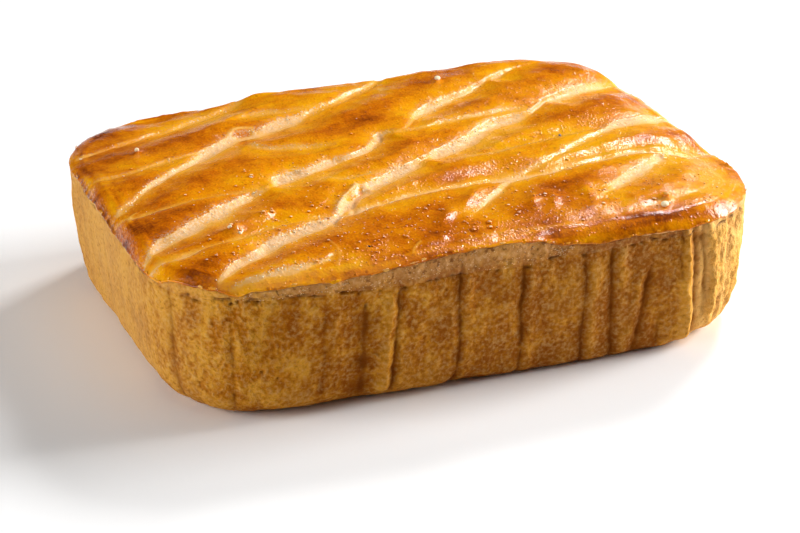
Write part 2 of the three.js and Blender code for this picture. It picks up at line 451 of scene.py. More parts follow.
@dataclass
class Skin:
    """The side of the pie: pleats, pits and unevenness, on the case and on the lid's edge."""

    outline: Outline
    noise: Noise
    seam: float
    # Runs between which the pleats are drawn at random.
    hidden_from: float = 128.0
    hidden_to: float = 398.0
    small_pits: int = 60
    crack_height: float = 0.26
    pleat_seed: int = 17
    pit_seed: int = 29

    # Left side, where the lining lay smooth.
    SMOOTH = Stretch(-78, 34)
    # Right near corner, where the lining was crumpled under the lid, and farther round folded.
    CRUMPLED = Stretch(106, 5)
    FOLDED = Stretch(119, 12)
    # Runs of the faint wide pleats on the left side.
    FAINT_PLEATS = (-58, -67, -79, -90, -99)
    # Small unevenness: strength, and distance between lumps.
    LUMPS = ((0.15, (2.6, 2.6, 9)), (0.15, 1.9), (0.08, 1.0))
    # How a pleat strays from a straight line: by how much, and over which height.
    WANDER = ((0.55, 11), (0.22, 2.2), (0.1, 0.9))
    # Reach of a pleat's crease and valley, and reach and offset of the ridge beside it, as
    # multiples of the pleat's width.
    CREASE, VALLEY, RIDGE, RIDGE_OFFSET = 0.42, 1.8, 2.2, 3.2
    # Farther away than this, a pleat or a pit doesn't show.
    PLEAT_MARGIN = 10.0
    PIT_MARGIN = 3.0
    # How high the joint between case and lid runs, by run.
    SEAM_WAVE = (
        (-100, 0.1), (-62, 0.0), (-24, 0.0), (-15, 0.7), (-3, 0.6), (11, -0.2), (28, -0.9),
        (45, -0.5), (60, -1.1), (68, 0.0), (76, -0.6), (90, 0.0), (120, 0.2), (170, -0.4),
        (210, 0.3), (260, -0.5), (300, 0.3), (350, -0.4), (390, 0.2),
    )
    # How brown the side is painted, by run: oven browning, and along the near side, growing towards the
    # right, also painted shade.
    TOAST_AND_SHADE = (
        (-110, 0.1), (-60, 0.1), (-36, 0.1), (-15, 0.25), (10, 0.75), (40, 1.0), (70, 1.4), (99, 1.5),
        (106, 0.4), (112, 0.0), (130, 0.0), (160, 0.45), (205, 0.3), (240, 0.5), (300, 0.4),
        (355, 0.55), (380, 0.2),
    )
    # How pale the side is painted, by run: paler crust, and painted light on the left side and, most, at
    # the right near corner, where the lights fall.
    FAIR_AND_LIT = (
        (-110, 0.7), (-78, 1.0), (-52, 0.8), (-36, 0.3), (-14, 0.0), (102, 0.1), (109, 1.3),
        (128, 1.6), (146, 0.3), (175, 0.0), (220, 0.4), (250, 0.1), (330, 0.2), (380, 0.5),
    )

    def ring(self, run: np.ndarray, height: np.ndarray | float) -> np.ndarray:
        """Puts points on an upright ring, where noise that is read by run closes on itself.

        Args:
            run: The points' place along the outline.
            height: Their height, or one height for all.

        Returns:
            One row of coordinates for each point.
        """
        radius = self.outline.around / (2 * math.pi)
        turn = run / radius
        return np.stack([np.cos(turn) * radius, np.sin(turn) * radius, run * 0 + height], 1)

    def joint(self, run: np.ndarray) -> np.ndarray:
        """Height of the joint between case and lid."""
        return self.seam + around(run, self.SEAM_WAVE, self.outline.around)

    def pleats(self) -> list[Pleat]:
        """Lists all pleats.

        Returns:
            Those of the near side, more of them at random on the far sides, and the faint ones.
        """
        draw = np.random.default_rng(self.pleat_seed)
        found = list(PLEATS)
        run = self.hidden_from
        while run < self.hidden_to:
            lean = draw.normal(0, 0.7)
            depth = draw.uniform(0.35, 0.95)
            found.append(
                Pleat(
                    run - lean,
                    run + lean,
                    draw.uniform(26, 33),
                    draw.uniform(1, 5),
                    depth,
                    draw.uniform(0.5, 0.9),
                    depth * 0.5,
                    draw.choice((-1.0, 1.0)),
                )
            )
            run += draw.uniform(4.5, 15)
        return found + [Pleat(r, r - 0.6, 31, 3, 0.16, 2.0, 0.12) for r in self.FAINT_PLEATS]

    def pits(self) -> list[Pit]:
        """Lists all pits.

        Returns:
            Those of the near side, and small ones at random all along the joint.
        """
        draw = np.random.default_rng(self.pit_seed)
        found = list(PITS)
        for _ in range(self.small_pits):
            near = draw.random() < 0.5
            run = draw.uniform(-28, 100) if near else draw.uniform(100, 470)
            height = self.seam + draw.normal(-0.4, 0.8)
            long = draw.uniform(0.3, 0.9)
            found.append(Pit(run, height, long, draw.uniform(0.2, 0.32), draw.uniform(0.2, 0.45)))
        return found

    def press(self, run: np.ndarray, height: np.ndarray, relief: np.ndarray) -> np.ndarray:
        """Presses the pleats into the side: a sharp crease in a soft valley, with a ridge by it.

        Args:
            run: The points' place along the outline.
            height: The points' height.
            relief: How far each point stands proud, which is changed in place.

        Returns:
            How deep in a fold each point lies, which the finish paints as shade: 0 outside the folds,
            and about 1 in a deep one.
        """
        fold = np.zeros_like(run)
        for pleat in self.pleats():
            middle = (pleat.run_top + pleat.run_foot) / 2
            close = np.flatnonzero(np.abs(self.outline.apart(run, middle)) < self.PLEAT_MARGIN)
            tall = height[close]
            upright = np.stack([tall] * 3, 1)
            shift = pleat.run_top * 3.1
            part = (tall - pleat.foot) / (pleat.top - pleat.foot)
            centre = pleat.run_foot + (pleat.run_top - pleat.run_foot) * part
            for swing, size in self.WANDER:
                centre = centre + swing * self.noise.at(upright + shift, size)
            away = self.outline.apart(run[close], centre)
            deep = 1 + 0.6 * self.noise.at(upright - shift, 5)
            shown = ease((tall - pleat.foot + 3) / 4) * ease((pleat.top - tall + 3) / 5) * deep
            crease = bell(away / (pleat.width * self.CREASE))
            valley = bell(away / (pleat.width * self.VALLEY))
            beside = away - pleat.ridge_side * pleat.width * self.RIDGE_OFFSET
            ridge = bell(beside / (pleat.width * self.RIDGE))
            pressed = pleat.depth * (0.3 * crease + 0.6 * valley)
            relief[close] += shown * (1.3 * pleat.ridge * ridge - pressed)
            # How strongly the finish paints shade into this fold's crease and valley.
            fold_shade = shown * (0.5 * crease + 0.5 * valley) * min(1, pleat.depth / 0.6)
            fold[close] = np.maximum(fold[close], fold_shade)
        return fold

    def pierce(self, run: np.ndarray, height: np.ndarray, relief: np.ndarray) -> np.ndarray:
        """Sinks the pits and the broken crack along the joint into the side.

        Args:
            run: The points' place along the outline.
            height: The points' height.
            relief: How far each point stands proud, which is changed in place.

        Returns:
            How deep in a hole, and in the crack, each point lies, which the finish paints as shade: 0
            outside the holes, and 0.85 in a deep one.
        """
        pit = np.zeros_like(run)
        for hole in self.pits():
            close = np.flatnonzero(np.abs(height - hole.height) < self.PIT_MARGIN)
            along = self.outline.apart(run[close], hole.run) / hole.long
            spot = bell(np.hypot(along, (height[close] - hole.height) / hole.tall))
            relief[close] -= hole.depth * spot
            pit[close] = np.maximum(pit[close], spot * min(1, hole.depth / 0.5))
        level = self.ring(run, 0.0)
        broken = np.clip(2.4 * self.noise.rough(level, 3.0) + 0.05, 0, 1)
        wavy = self.joint(run) + 0.35 * self.noise.at(level, 1.6)
        crack = broken * bell((height - wavy) / self.crack_height)
        relief -= 0.5 * crack
        return 0.85 * np.maximum(pit, crack)

    def read(self, run: np.ndarray, height: np.ndarray) -> dict[str, np.ndarray]:
        """Works out the side's relief and browning.

        Args:
            run: The points' place along the outline.
            height: The points' height.

        Returns:
            "relief", how far each point stands proud, "swell", the slow part of it, and the
            fields that the finishes read.
        """
        here = self.ring(run, height)
        level = self.ring(run, 0.0)
        lively = 1 - 0.85 * self.SMOOTH.share(self.outline, run)
        swell = 0.34 * self.noise.at(here, 13) + 0.24 * lively * self.noise.at(here, (6, 6, 9))
        bulge = 0.7 * self.noise.at(level + 31, 7) * bell(height / 9)
        relief = swell + bulge
        for strength, size in self.LUMPS:
            relief += strength * lively * self.noise.at(here, size)
        crumpled = self.CRUMPLED.share(self.outline, run) * ease((height - 20) / 6)
        relief += 0.45 * crumpled * self.noise.at(here, 1.5)
        creases = 0.6 * self.noise.at(here, (1.4, 1.4, 6)) + 0.3 * self.noise.at(here, 1.3)
        relief += self.FOLDED.share(self.outline, run) * creases

        fold = self.press(run, height, relief)
        pit = self.pierce(run, height, relief)
        fair_and_lit = around(run, self.FAIR_AND_LIT, self.outline.around)
        return {
            "relief": relief,
            "swell": swell,
            # The finish paints raised parts lighter and low parts darker: painted light and shade on the
            # relief.
            "raised": np.clip(0.5 + 0.5 * relief, 0, 1),
            # Painted shade in the folds, weaker where the side is painted fair and lit.
            "fold": np.clip(fold, 0, 1) * (1 - 0.6 * np.clip(fair_and_lit, 0, 1)),
            "pit": pit,
            # Paler crust, with painted light on the left side and the right near corner.
            "fair_and_lit": fair_and_lit,
            # Oven browning, with painted shade along the near side.
            "toast": around(run, self.TOAST_AND_SHADE, self.outline.around),
        }


# ---- The lid ----


class Side(Enum):
    """A side of a score: the one nearer to the front of the pie, or the one farther back."""

    NEAR = -1
    FAR = 1


@dataclass(frozen=True)
class Stroke:
    """A line drawn across the lid: rows of x, y, half width and what a subclass adds."""

    points: Points
    step: float = 1.2

    # Farther away from its path than this, a line doesn't show.
    MARGIN = 16.0
    FAR_AWAY = 1e9

    def path(self) -> np.ndarray:
        """Rounds the drawn points to a smooth path.

        Returns:
            Rows like the drawn ones, about one step apart.
        """
        drawn = np.array(self.points)
        padded = np.vstack([2 * drawn[0] - drawn[1], drawn, 2 * drawn[-1] - drawn[-2]])
        rows = []
        for a, b, c, d in zip(padded, padded[1:], padded[2:], padded[3:]):
            count = max(2, int(np.hypot(*(c - b)[:2]) / self.step))
            for t in np.arange(count) / count:
                curve = 2 * b + (c - a) * t + (2 * a - 5 * b + 4 * c - d) * t**2
                rows.append((curve + (3 * b - a - 3 * c + d) * t**3) / 2)
        return np.vstack([rows, drawn[-1]])

    def measure(self, x: np.ndarray, y: np.ndarray) -> tuple[np.ndarray, ...]:
        """Measures points against the path.

        Args:
            x: The points' x.
            y: The points' y.

        Returns:
            Distance to the path, 1 on its far side or -1 on the near, and then the half width
            and each further column of the drawn rows.
        """
        path = self.path()
        best = np.full(x.shape, self.FAR_AWAY)
        side = np.ones(x.shape)
        rest = np.zeros((path.shape[1] - 2, len(x)))
        low, high = path[:, :2].min(0) - self.MARGIN, path[:, :2].max(0) + self.MARGIN
        close = np.flatnonzero((x > low[0]) & (x < high[0]) & (y > low[1]) & (y < high[1]))
        px, py = x[close], y[close]
        for start, end in zip(path[:-1], path[1:]):
            ahead = end[:2] - start[:2]
            rx, ry = px - start[0], py - start[1]
            t = np.clip((rx * ahead[0] + ry * ahead[1]) / (ahead @ ahead), 0, 1)
            distance = np.hypot(rx - t * ahead[0], ry - t * ahead[1])
            nearer = distance < best[close]
            chosen = close[nearer]
            best[chosen] = distance[nearer]
            side[chosen] = np.sign(ahead[0] * ry - ahead[1] * rx)[nearer]
            rest[:, chosen] = (start[2:, None] + (end - start)[2:, None] * t)[:, nearer]
        return best, side, *rest


@dataclass(frozen=True)
class Score(Stroke):
    """A score or crease, where the panels part and raw pastry shows.

    Its rows end with how much raw pastry shows. On its torn side the glaze stops at a ragged
    step, and on the other it thins out.
    """

    parting: float = 1.0
    torn: Side = Side.FAR
    reach: float = 8.0


@dataclass(frozen=True)
class Wrinkle(Stroke):
    """A thin line that is no score: the edge of a lifted flake, a ledge, or a tear.

    Where pale is negative, glaze shows instead of crumb. Dark is painted shade in a line's hollow, at
    the tears and the flap's hole.
    """

    rise: float = 0.4
    pale: float = 0.6
    # How much painted shade lies along the line.
    dark: float = 0.0


SLASHES = (
    Score((
        (-66.8, -52.2, 0.6, 0.8), (-59.9, -46.8, 1.4, 0.85), (-53.7, -43.6, 1.9, 0.95),
        (-48.3, -39.6, 2.2, 1), (-43.4, -37.1, 2.2, 1), (-38.5, -35, 2, 1), (-33.6, -33.3, 1.7, 0.95),
        (-29.3, -30.6, 1.4, 0.9), (-26.7, -27, 1.7, 0.9), (-24.3, -24.2, 2.1, 0.95),
        (-20.4, -19.9, 2, 1), (-17, -17.7, 2, 1), (-13.1, -14.9, 2.2, 1), (-7.9, -11.7, 2.2, 1),
        (-3, -8.8, 2.2, 1), (1, -6.9, 1.6, 0.8), (4.6, -4.4, 1, 0.35), (7.7, -2.7, 1.6, 0.8),
        (10.7, -1.2, 2.3, 1), (14.9, 0.7, 2.5, 1), (19.6, 2.9, 2.4, 0.95), (22.6, 5.3, 2.3, 0.9),
        (27.6, 9.8, 2.4, 0.95), (32.5, 12.6, 2.5, 1), (37.4, 14, 2.3, 0.95), (42.4, 15.7, 1.6, 0.6),
        (46.7, 18.5, 1.2, 0.35), (50.7, 21.8, 1.3, 0.35), (53.2, 22.6, 2, 0.8), (55.6, 23.3, 2.4, 1),
        (60.7, 25.3, 2.3, 1), (65.8, 27.7, 2.4, 1), (70.8, 29.7, 2.2, 0.9), (75.4, 31.8, 1.8, 0.6),
        (80.6, 34.1, 1.8, 0.4),
    )),
    Score((
        (-78.5, -32.7, 1.4, 0.8), (-72.7, -28.2, 2.1, 0.9), (-67.7, -26, 2.4, 0.9),
        (-61.6, -21.9, 2.6, 0.95), (-56.7, -19.2, 2.8, 1), (-52.5, -16.1, 2.6, 1),
        (-48.6, -13.1, 2, 0.95), (-44.5, -10.4, 1.4, 0.85), (-41.3, -9.1, 0.8, 0.6),
        (-38.6, -7.9, 0.6, 0.25), (-35.6, -4.5, 1.8, 0.8), (-33.3, -3.4, 2.6, 1), (-28.3, -1.8, 2.2, 1),
        (-23.4, 0.2, 1.8, 0.95), (-18.3, 2.6, 1.6, 0.95), (-13.6, 3.8, 1.3, 0.85), (-8.3, 6.3, 1.3, 0.8),
        (-5.3, 8.4, 1.5, 0.75), (-1.8, 12.6, 1.6, 0.7), (-0.5, 15.4, 1.5, 0.85), (2.7, 16.4, 0.8, 0.4),
        (5.6, 15.5, 0.5, 0.25), (8.8, 18, 0.9, 0.45), (14, 25, 1.5, 0.65), (19.3, 28.6, 2.1, 0.95),
        (24.1, 31.1, 1.7, 0.85), (29.1, 33.5, 1.6, 0.8), (34.4, 36.4, 1.5, 0.65), (38.3, 39.2, 1.4, 0.6),
        (41.8, 41.6, 0.9, 0.35), (46.2, 43.9, 1.7, 0.65), (50, 46.5, 1.1, 0.3), (55.7, 48.7, 0.7, 0.15),
    )),
    Score((
        (-77.8, -6.1, 1, 0.6), (-73, -1.6, 1.1, 0.6), (-69, 2.2, 1, 0.65), (-65, 6.2, 1.2, 0.8),
        (-60.8, 9.6, 1.2, 0.8), (-56.8, 12.7, 1.1, 0.8), (-52.6, 15.9, 1.3, 0.85),
        (-48.1, 20.2, 1.7, 0.95), (-44.2, 23.1, 2, 0.95), (-40.1, 26.5, 2.3, 0.95),
        (-35.7, 29.7, 2.5, 1), (-31.8, 30.5, 2.9, 1), (-27.8, 31.1, 2.8, 1), (-22.9, 32.8, 3, 0.95),
        (-18, 34.4, 2.8, 0.95), (-14.3, 36.4, 2.3, 0.8), (-9.2, 39, 1.8, 0.5), (-2.9, 41.6, 1.7, 0.45),
        (3.1, 46.5, 2.2, 0.65), (8.2, 49.2, 2.2, 0.6), (13.8, 54.3, 1.8, 0.4), (18.2, 60.2, 1.5, 0.3),
    )),
    Score((
        (-76.8, 36.2, 1, 0.45), (-68.4, 38.5, 1.2, 0.38), (-60.1, 40.8, 1.2, 0.38),
        (-54, 43.4, 1.4, 0.42), (-48, 44.8, 1.7, 0.48), (-43.1, 47.9, 2.1, 0.58),
        (-38.2, 49.3, 2.2, 0.58), (-32, 51.8, 1.9, 0.48), (-25.8, 56.3, 2.1, 0.52),
        (-21.9, 59.4, 2.2, 0.52), (-19.5, 60.5, 2, 0.45),
    )),
    Score((
        (2, -41.9, 0.5, 0.3), (5.4, -38.5, 1, 0.5), (9.9, -34.3, 1.3, 0.58), (14.2, -30.7, 1.5, 0.62),
        (19.6, -24.8, 1.5, 0.6), (26.1, -20.2, 1.7, 0.62), (29.6, -18.5, 1.6, 0.52),
        (34.3, -16.3, 1.3, 0.42), (39.4, -13.5, 1.4, 0.4), (44.2, -10.7, 1.6, 0.44),
        (49.4, -7.6, 1.8, 0.48), (54.5, -4.8, 2, 0.55), (58.6, -2.1, 2.2, 0.78), (62.6, -0.3, 2.5, 0.98),
        (67.5, 0.3, 2.6, 1), (72.8, 1.8, 2.6, 1), (77.2, 2.7, 2.2, 0.85), (80.7, 3.3, 2, 0.7),
    ), parting=0.6),
    Score((
        (37.1, -42.3, 0.6, 0.4), (39.4, -40.4, 1, 0.55), (43.7, -37.7, 1.7, 0.72),
        (49.1, -34, 2.3, 0.86), (54.3, -30.6, 2.3, 0.86), (58.2, -27.7, 2, 0.82), (62, -24.8, 2, 0.85),
    ), parting=0.85),
)

CREASES = (
    Score((
        (-78.1, -36.7, 1.2, 0.75), (-72.9, -37.7, 1.2, 0.65), (-67.6, -36, 1, 0.58),
        (-61.5, -35, 0.8, 0.48), (-54.4, -33.9, 0.8, 0.46), (-46.8, -30.9, 1.1, 0.42),
        (-40.8, -30.4, 1.2, 0.42), (-34.4, -29.4, 1.1, 0.42), (-29.3, -28.9, 1.3, 0.55),
        (-23.1, -27.4, 1.8, 0.85), (-18.2, -26.3, 1.8, 0.8), (-13.2, -25.1, 1.8, 0.72),
        (-8.1, -23.9, 1.7, 0.72), (-3.2, -23.2, 1.7, 0.72), (1.9, -23.1, 1.6, 0.78),
        (6.9, -22.8, 1.7, 0.72), (12.1, -22.3, 2, 0.68), (17.2, -22.2, 2.6, 0.82),
        (22.3, -22.2, 2.5, 0.86), (27.4, -22.2, 2, 0.82), (32.4, -22.3, 1.7, 0.8),
        (37.3, -21.3, 1.7, 0.76), (42.2, -20.3, 1.7, 0.72), (47.4, -19.1, 1.8, 0.8),
        (52.4, -18.8, 1.8, 0.76), (58.6, -17.7, 2.2, 0.85), (64.8, -19.8, 2.2, 0.86),
        (70.2, -20.7, 2.2, 0.85), (75.1, -19.6, 1.6, 0.6), (79.9, -18, 1.4, 0.5),
    ), torn=Side.NEAR),
    Score((
        (-79.1, -9.3, 0.9, 0.5), (-75.7, -11.4, 1.1, 0.52), (-69.5, -10.8, 1.1, 0.56),
        (-63.3, -9.3, 0.9, 0.42), (-56.2, -8.5, 0.9, 0.38), (-49.2, -8.1, 1.1, 0.36),
        (-42.2, -7.1, 1.3, 0.36),
    ), parting=0.55, torn=Side.NEAR, reach=6),
    Score((
        (-24.4, -4.5, 0.6, 0.28), (-21.2, -8.4, 1.1, 0.46), (-17.1, -8.9, 1.2, 0.52),
        (-11.1, -7.9, 1.1, 0.44), (-5.2, -7.2, 0.9, 0.3),
    ), parting=0.55, torn=Side.NEAR, reach=6),
    Score((
        (16.5, -6.2, 1.3, 0.46), (21.2, -6.4, 1.3, 0.42), (27.2, -5.4, 1.3, 0.42),
        (33.3, -4.2, 1.2, 0.4), (39.4, -3, 1.1, 0.38), (45.4, -2.2, 1.1, 0.36), (51.4, -1.1, 1.1, 0.32),
        (57.4, -0.2, 1.4, 0.4),
    ), parting=0.55, torn=Side.NEAR, reach=6),
    Score((
        (-77.4, 15.8, 1, 0.38), (-72.5, 15, 1.1, 0.48), (-65.3, 16.6, 1, 0.42), (-57, 19.9, 1.2, 0.48),
        (-49, 22.3, 1.2, 0.45), (-43.7, 25.3, 1, 0.45),
    ), parting=0.55, reach=6),
    Score((
        (-35.1, 25.8, 1, 0.4), (-33.7, 20.5, 1.8, 0.55), (-30.1, 16.8, 1.8, 0.52),
        (-25, 14.7, 1.8, 0.48), (-20, 13.6, 1.6, 0.4), (-15.1, 12.5, 1, 0.28),
    ), parting=0.55, reach=6),
    Score((
        (0.6, 15.8, 0.8, 0.3), (5.8, 14.5, 1.2, 0.42), (13, 15.4, 1.3, 0.42), (19, 17, 1.6, 0.48),
        (24.7, 17.5, 1.8, 0.5), (30.9, 18.1, 1.8, 0.5), (37.4, 18.6, 1.6, 0.45), (43.6, 17.9, 1.2, 0.4),
    ), parting=0.55, reach=6),
    Score((
        (-30.1, 41.8, 1.2, 0.4), (-24.1, 42.1, 2.4, 0.55), (-18.1, 40.7, 1.6, 0.42),
        (-10.2, 40.5, 1.3, 0.36), (-2, 42.9, 1, 0.3),
    ), parting=0.55, reach=6),
    Score((
        (27, -53.5, 0.3, 0.3), (40, -52, 0.7, 0.36), (54, -49.5, 0.9, 0.4), (64, -45, 0.8, 0.36),
        (70, -39, 0.4, 0.25),
    ), parting=0.25, reach=3.5),
    Score((
        (-64.9, -54.7, 0.5, 0.55), (-60.1, -55.2, 1.0, 0.8), (-52.2, -55.1, 1.2, 0.85),
        (-45.2, -54.4, 1.0, 0.75), (-40.2, -53, 0.7, 0.6), (-37.6, -50.5, 0.4, 0.4),
    ), parting=0.4, reach=4),
)

WRINKLES = (
    Wrinkle(
        ((-28, -25.9, 0.4), (-24.7, -21.8, 0.45), (-21.5, -18.1, 0.5), (-19, -15, 0.6)),
        rise=0.6,
        pale=1.0,
    ),
    Wrinkle(((-19, -15, 0.6), (-16.6, -15, 0.65), (-15.4, -16.4, 0.6)), rise=0.5, pale=1.0),
    Wrinkle(((-23.6, -21, 0.35), (-21.2, -18.6, 0.75), (-18.3, -16.4, 0.85)), rise=-0.6, pale=-1.0),
    Wrinkle(
        ((-31.6, -34.3, 0.4), (-30.8, -32.2, 0.5), (-28.5, -28.7, 0.35)),
        rise=-0.5,
        pale=0.5,
        dark=0.3,
    ),
    Wrinkle(
        ((-24.5, -28.3, 0.6), (-23.5, -25.6, 0.6), (-22.1, -22, 0.35)),
        rise=-0.35,
        pale=0.6,
        dark=0.12,
    ),
    Wrinkle(
        ((-39.1, -55.6, 0.4), (-37.1, -52.2, 0.4), (-36.3, -48.4, 0.35), (-36.8, -44.8, 0.3)),
        rise=0.12,
        pale=0.3,
    ),
    Wrinkle(((-20.1, -56.4, 0.3), (-18.6, -54, 0.35), (-16.4, -52, 0.25)), rise=0.22, pale=0.45),
    Wrinkle(((-8, -54.5, 0.3), (8, -53.4, 0.6), (24, -55.4, 0.4)), rise=0.16, pale=0.25),
    Wrinkle(((-77.5, -13.5, 0.3), (-76.4, -10.5, 0.45), (-74.5, -9.4, 0.3)), rise=0.3, pale=0.5),
    Wrinkle(
        ((-37.7, 30.7, 0.6), (-36.3, 32.8, 0.8), (-33.7, 34.6, 0.8), (-30.1, 34.1, 0.6)),
        rise=0.15,
        pale=0.8,
    ),
    Wrinkle(((-34.4, 32.2, 1.0), (-31.8, 32.4, 1.1)), rise=-0.3, pale=-0.85),
    Wrinkle(((-35.1, 24.4, 0.5), (-34.6, 28, 0.5)), rise=-0.1, pale=-0.6),
    Wrinkle(((-1.4, 12.9, 0.45), (-0.3, 14.6, 0.5)), rise=-0.4, pale=0.2, dark=0.3),
)


@dataclass(frozen=True)
class Mound:
    """A hump, hollow or ridge on the lid, long along its bearing and soft at its edge."""

    x: float
    y: float
    long: float
    short: float
    bearing: float
    rise: float

    def height(self, x: np.ndarray, y: np.ndarray) -> np.ndarray:
        """Works out how far the mound raises the lid.

        Args:
            x: The points' x.
            y: The points' y.

        Returns:
            One height for each point.
        """
        turn = math.radians(self.bearing)
        dx, dy = x - self.x, y - self.y
        along = (dx * math.cos(turn) + dy * math.sin(turn)) / self.long
        across = (dy * math.cos(turn) - dx * math.sin(turn)) / self.short
        return self.rise * bell(np.hypot(along, across))


# x, y, half the length and width, bearing and rise.
MOUNDS = tuple(
    Mound(*row)
    for row in (
        (18.3, -40.4, 4, 1.3, 66, 0.5), (23.3, -42.5, 4, 1.2, 66, 0.45),
        (33.5, -40, 5, 1.5, 80, 0.45), (28.5, -37, 7, 2.6, 118, -0.6),
        (4.2, -34, 5.5, 1.7, 49, 0.75), (-4.8, -41, 4.5, 1.4, 50, 0.6),
        (-10.6, -51.6, 1.6, 1.3, 0, 0.5), (64.5, -16.6, 4, 1.2, 0, 0.5),
        (-55.8, -30, 2.6, 1.6, 60, 1.1), (-46, -24.2, 2.5, 1.6, 30, 0.7),
        (-57, -14.5, 2.0, 1.4, 30, 0.4), (50.8, -49.3, 1.7, 1.5, 0, 1.0),
        (-63.2, 29, 1.3, 0.9, 70, 0.6), (28, 45, 2.6, 1.0, 65, 0.6),
        (-24, -20.5, 6.5, 1.3, 52, 0.6), (70, -42, 12, 9, 45, -1.6), (77, -27, 9, 13, 0, -2.4),
        (76, 2, 5, 26, 0, -1.2), (78, 28, 7, 15, 0, -1.5), (78, -10, 5, 4, 0, 0.5),
        (74, 46, 9, 9, 0, 0.2), (-52, 57, 13, 7, 0, -1.1), (-19, 60, 8, 6, 0, 3.0),
        (-38, 58, 8, 6, 0, -0.7), (-14, 60, 3.5, 5, 0, -0.9), (-24, 60, 3, 5, 0, 0.7),
        (5, 60, 6, 5, 0, -0.5), (17, 60, 5, 5, 0, 1.1),
    )
)


@dataclass(frozen=True)
class Browning:
    """A patch of the lid that is browner, or paler, than the rest: mostly the oven's browning, and at
    the near right corner painted sheen.
    """

    x: float
    y: float
    reach_x: float
    reach_y: float
    strength: float

    def amount(self, x: np.ndarray, y: np.ndarray) -> np.ndarray:
        """Extra browning at points of the lid."""
        away = np.hypot((x - self.x) / self.reach_x, (y - self.y) / self.reach_y)
        return self.strength * bell(away)


# x, y, reach along x, reach along y, and strength.
# The paler patch at 68, -36 is painted sheen, which lightens the near right corner.
BROWNINGS = tuple(
    Browning(*row)
    for row in (
        (-76, 0, 14, 50, 0.13), (-68, -47, 9, 6, 0.42), (-56, -47, 9, 4, 0.22),
        (-75, -21, 7, 6, 0.3), (-60, -14.5, 10, 4, 0.26), (-61, -30, 11, 4, 0.28),
        (-69, 48, 9, 7, 0.28), (-49, 31, 18, 8, 0.28), (-73, 36, 8, 5, 0.26), (-68, 7, 9, 4, 0.26),
        (-12, 21, 10, 5, 0.26), (4, 24, 9, 4, 0.26), (10, 5, 9, 4, 0.24), (5, -18, 8, 3.5, 0.24),
        (14, -16.5, 9, 4, 0.26), (29.5, -34, 8, 3.5, 0.26), (66, -11.5, 10, 4, 0.26),
        (65, 44, 10, 6, 0.24), (33.5, 26, 12, 4, 0.16), (50, 10.6, 12, 4, 0.17),
        (45, -32, 10, 4, 0.14), (64, -41, 10, 5, 0.08), (-14, -37.5, 14, 4, 0.12),
        (-22, -51, 16, 4, 0.14), (-40, -46, 12, 4, 0.1), (-45, 0, 9, 5, -0.12),
        (-36, 5, 8, 4, -0.1), (46, -11, 13, 4, -0.14), (42, -56, 13, 2.4, 0.36),
        (60, -52, 10, 3, 0.1), (-8, -57, 36, 3, -0.02), (24, -52, 14, 2, 0.16),
        (20, 0, 60, 60, -0.06), (68, -36, 16, 18, -0.24), (-58, -4, 18, 12, 0.24),
    )
)


@dataclass(frozen=True)
class Bead:
    """A small rounded body on the lid, and how brown the glaze is in a ring round its foot."""

    x: float
    y: float
    radius: float
    ring: float = 0.12
    flat: float = 0.45
    sunk: float = 0.26


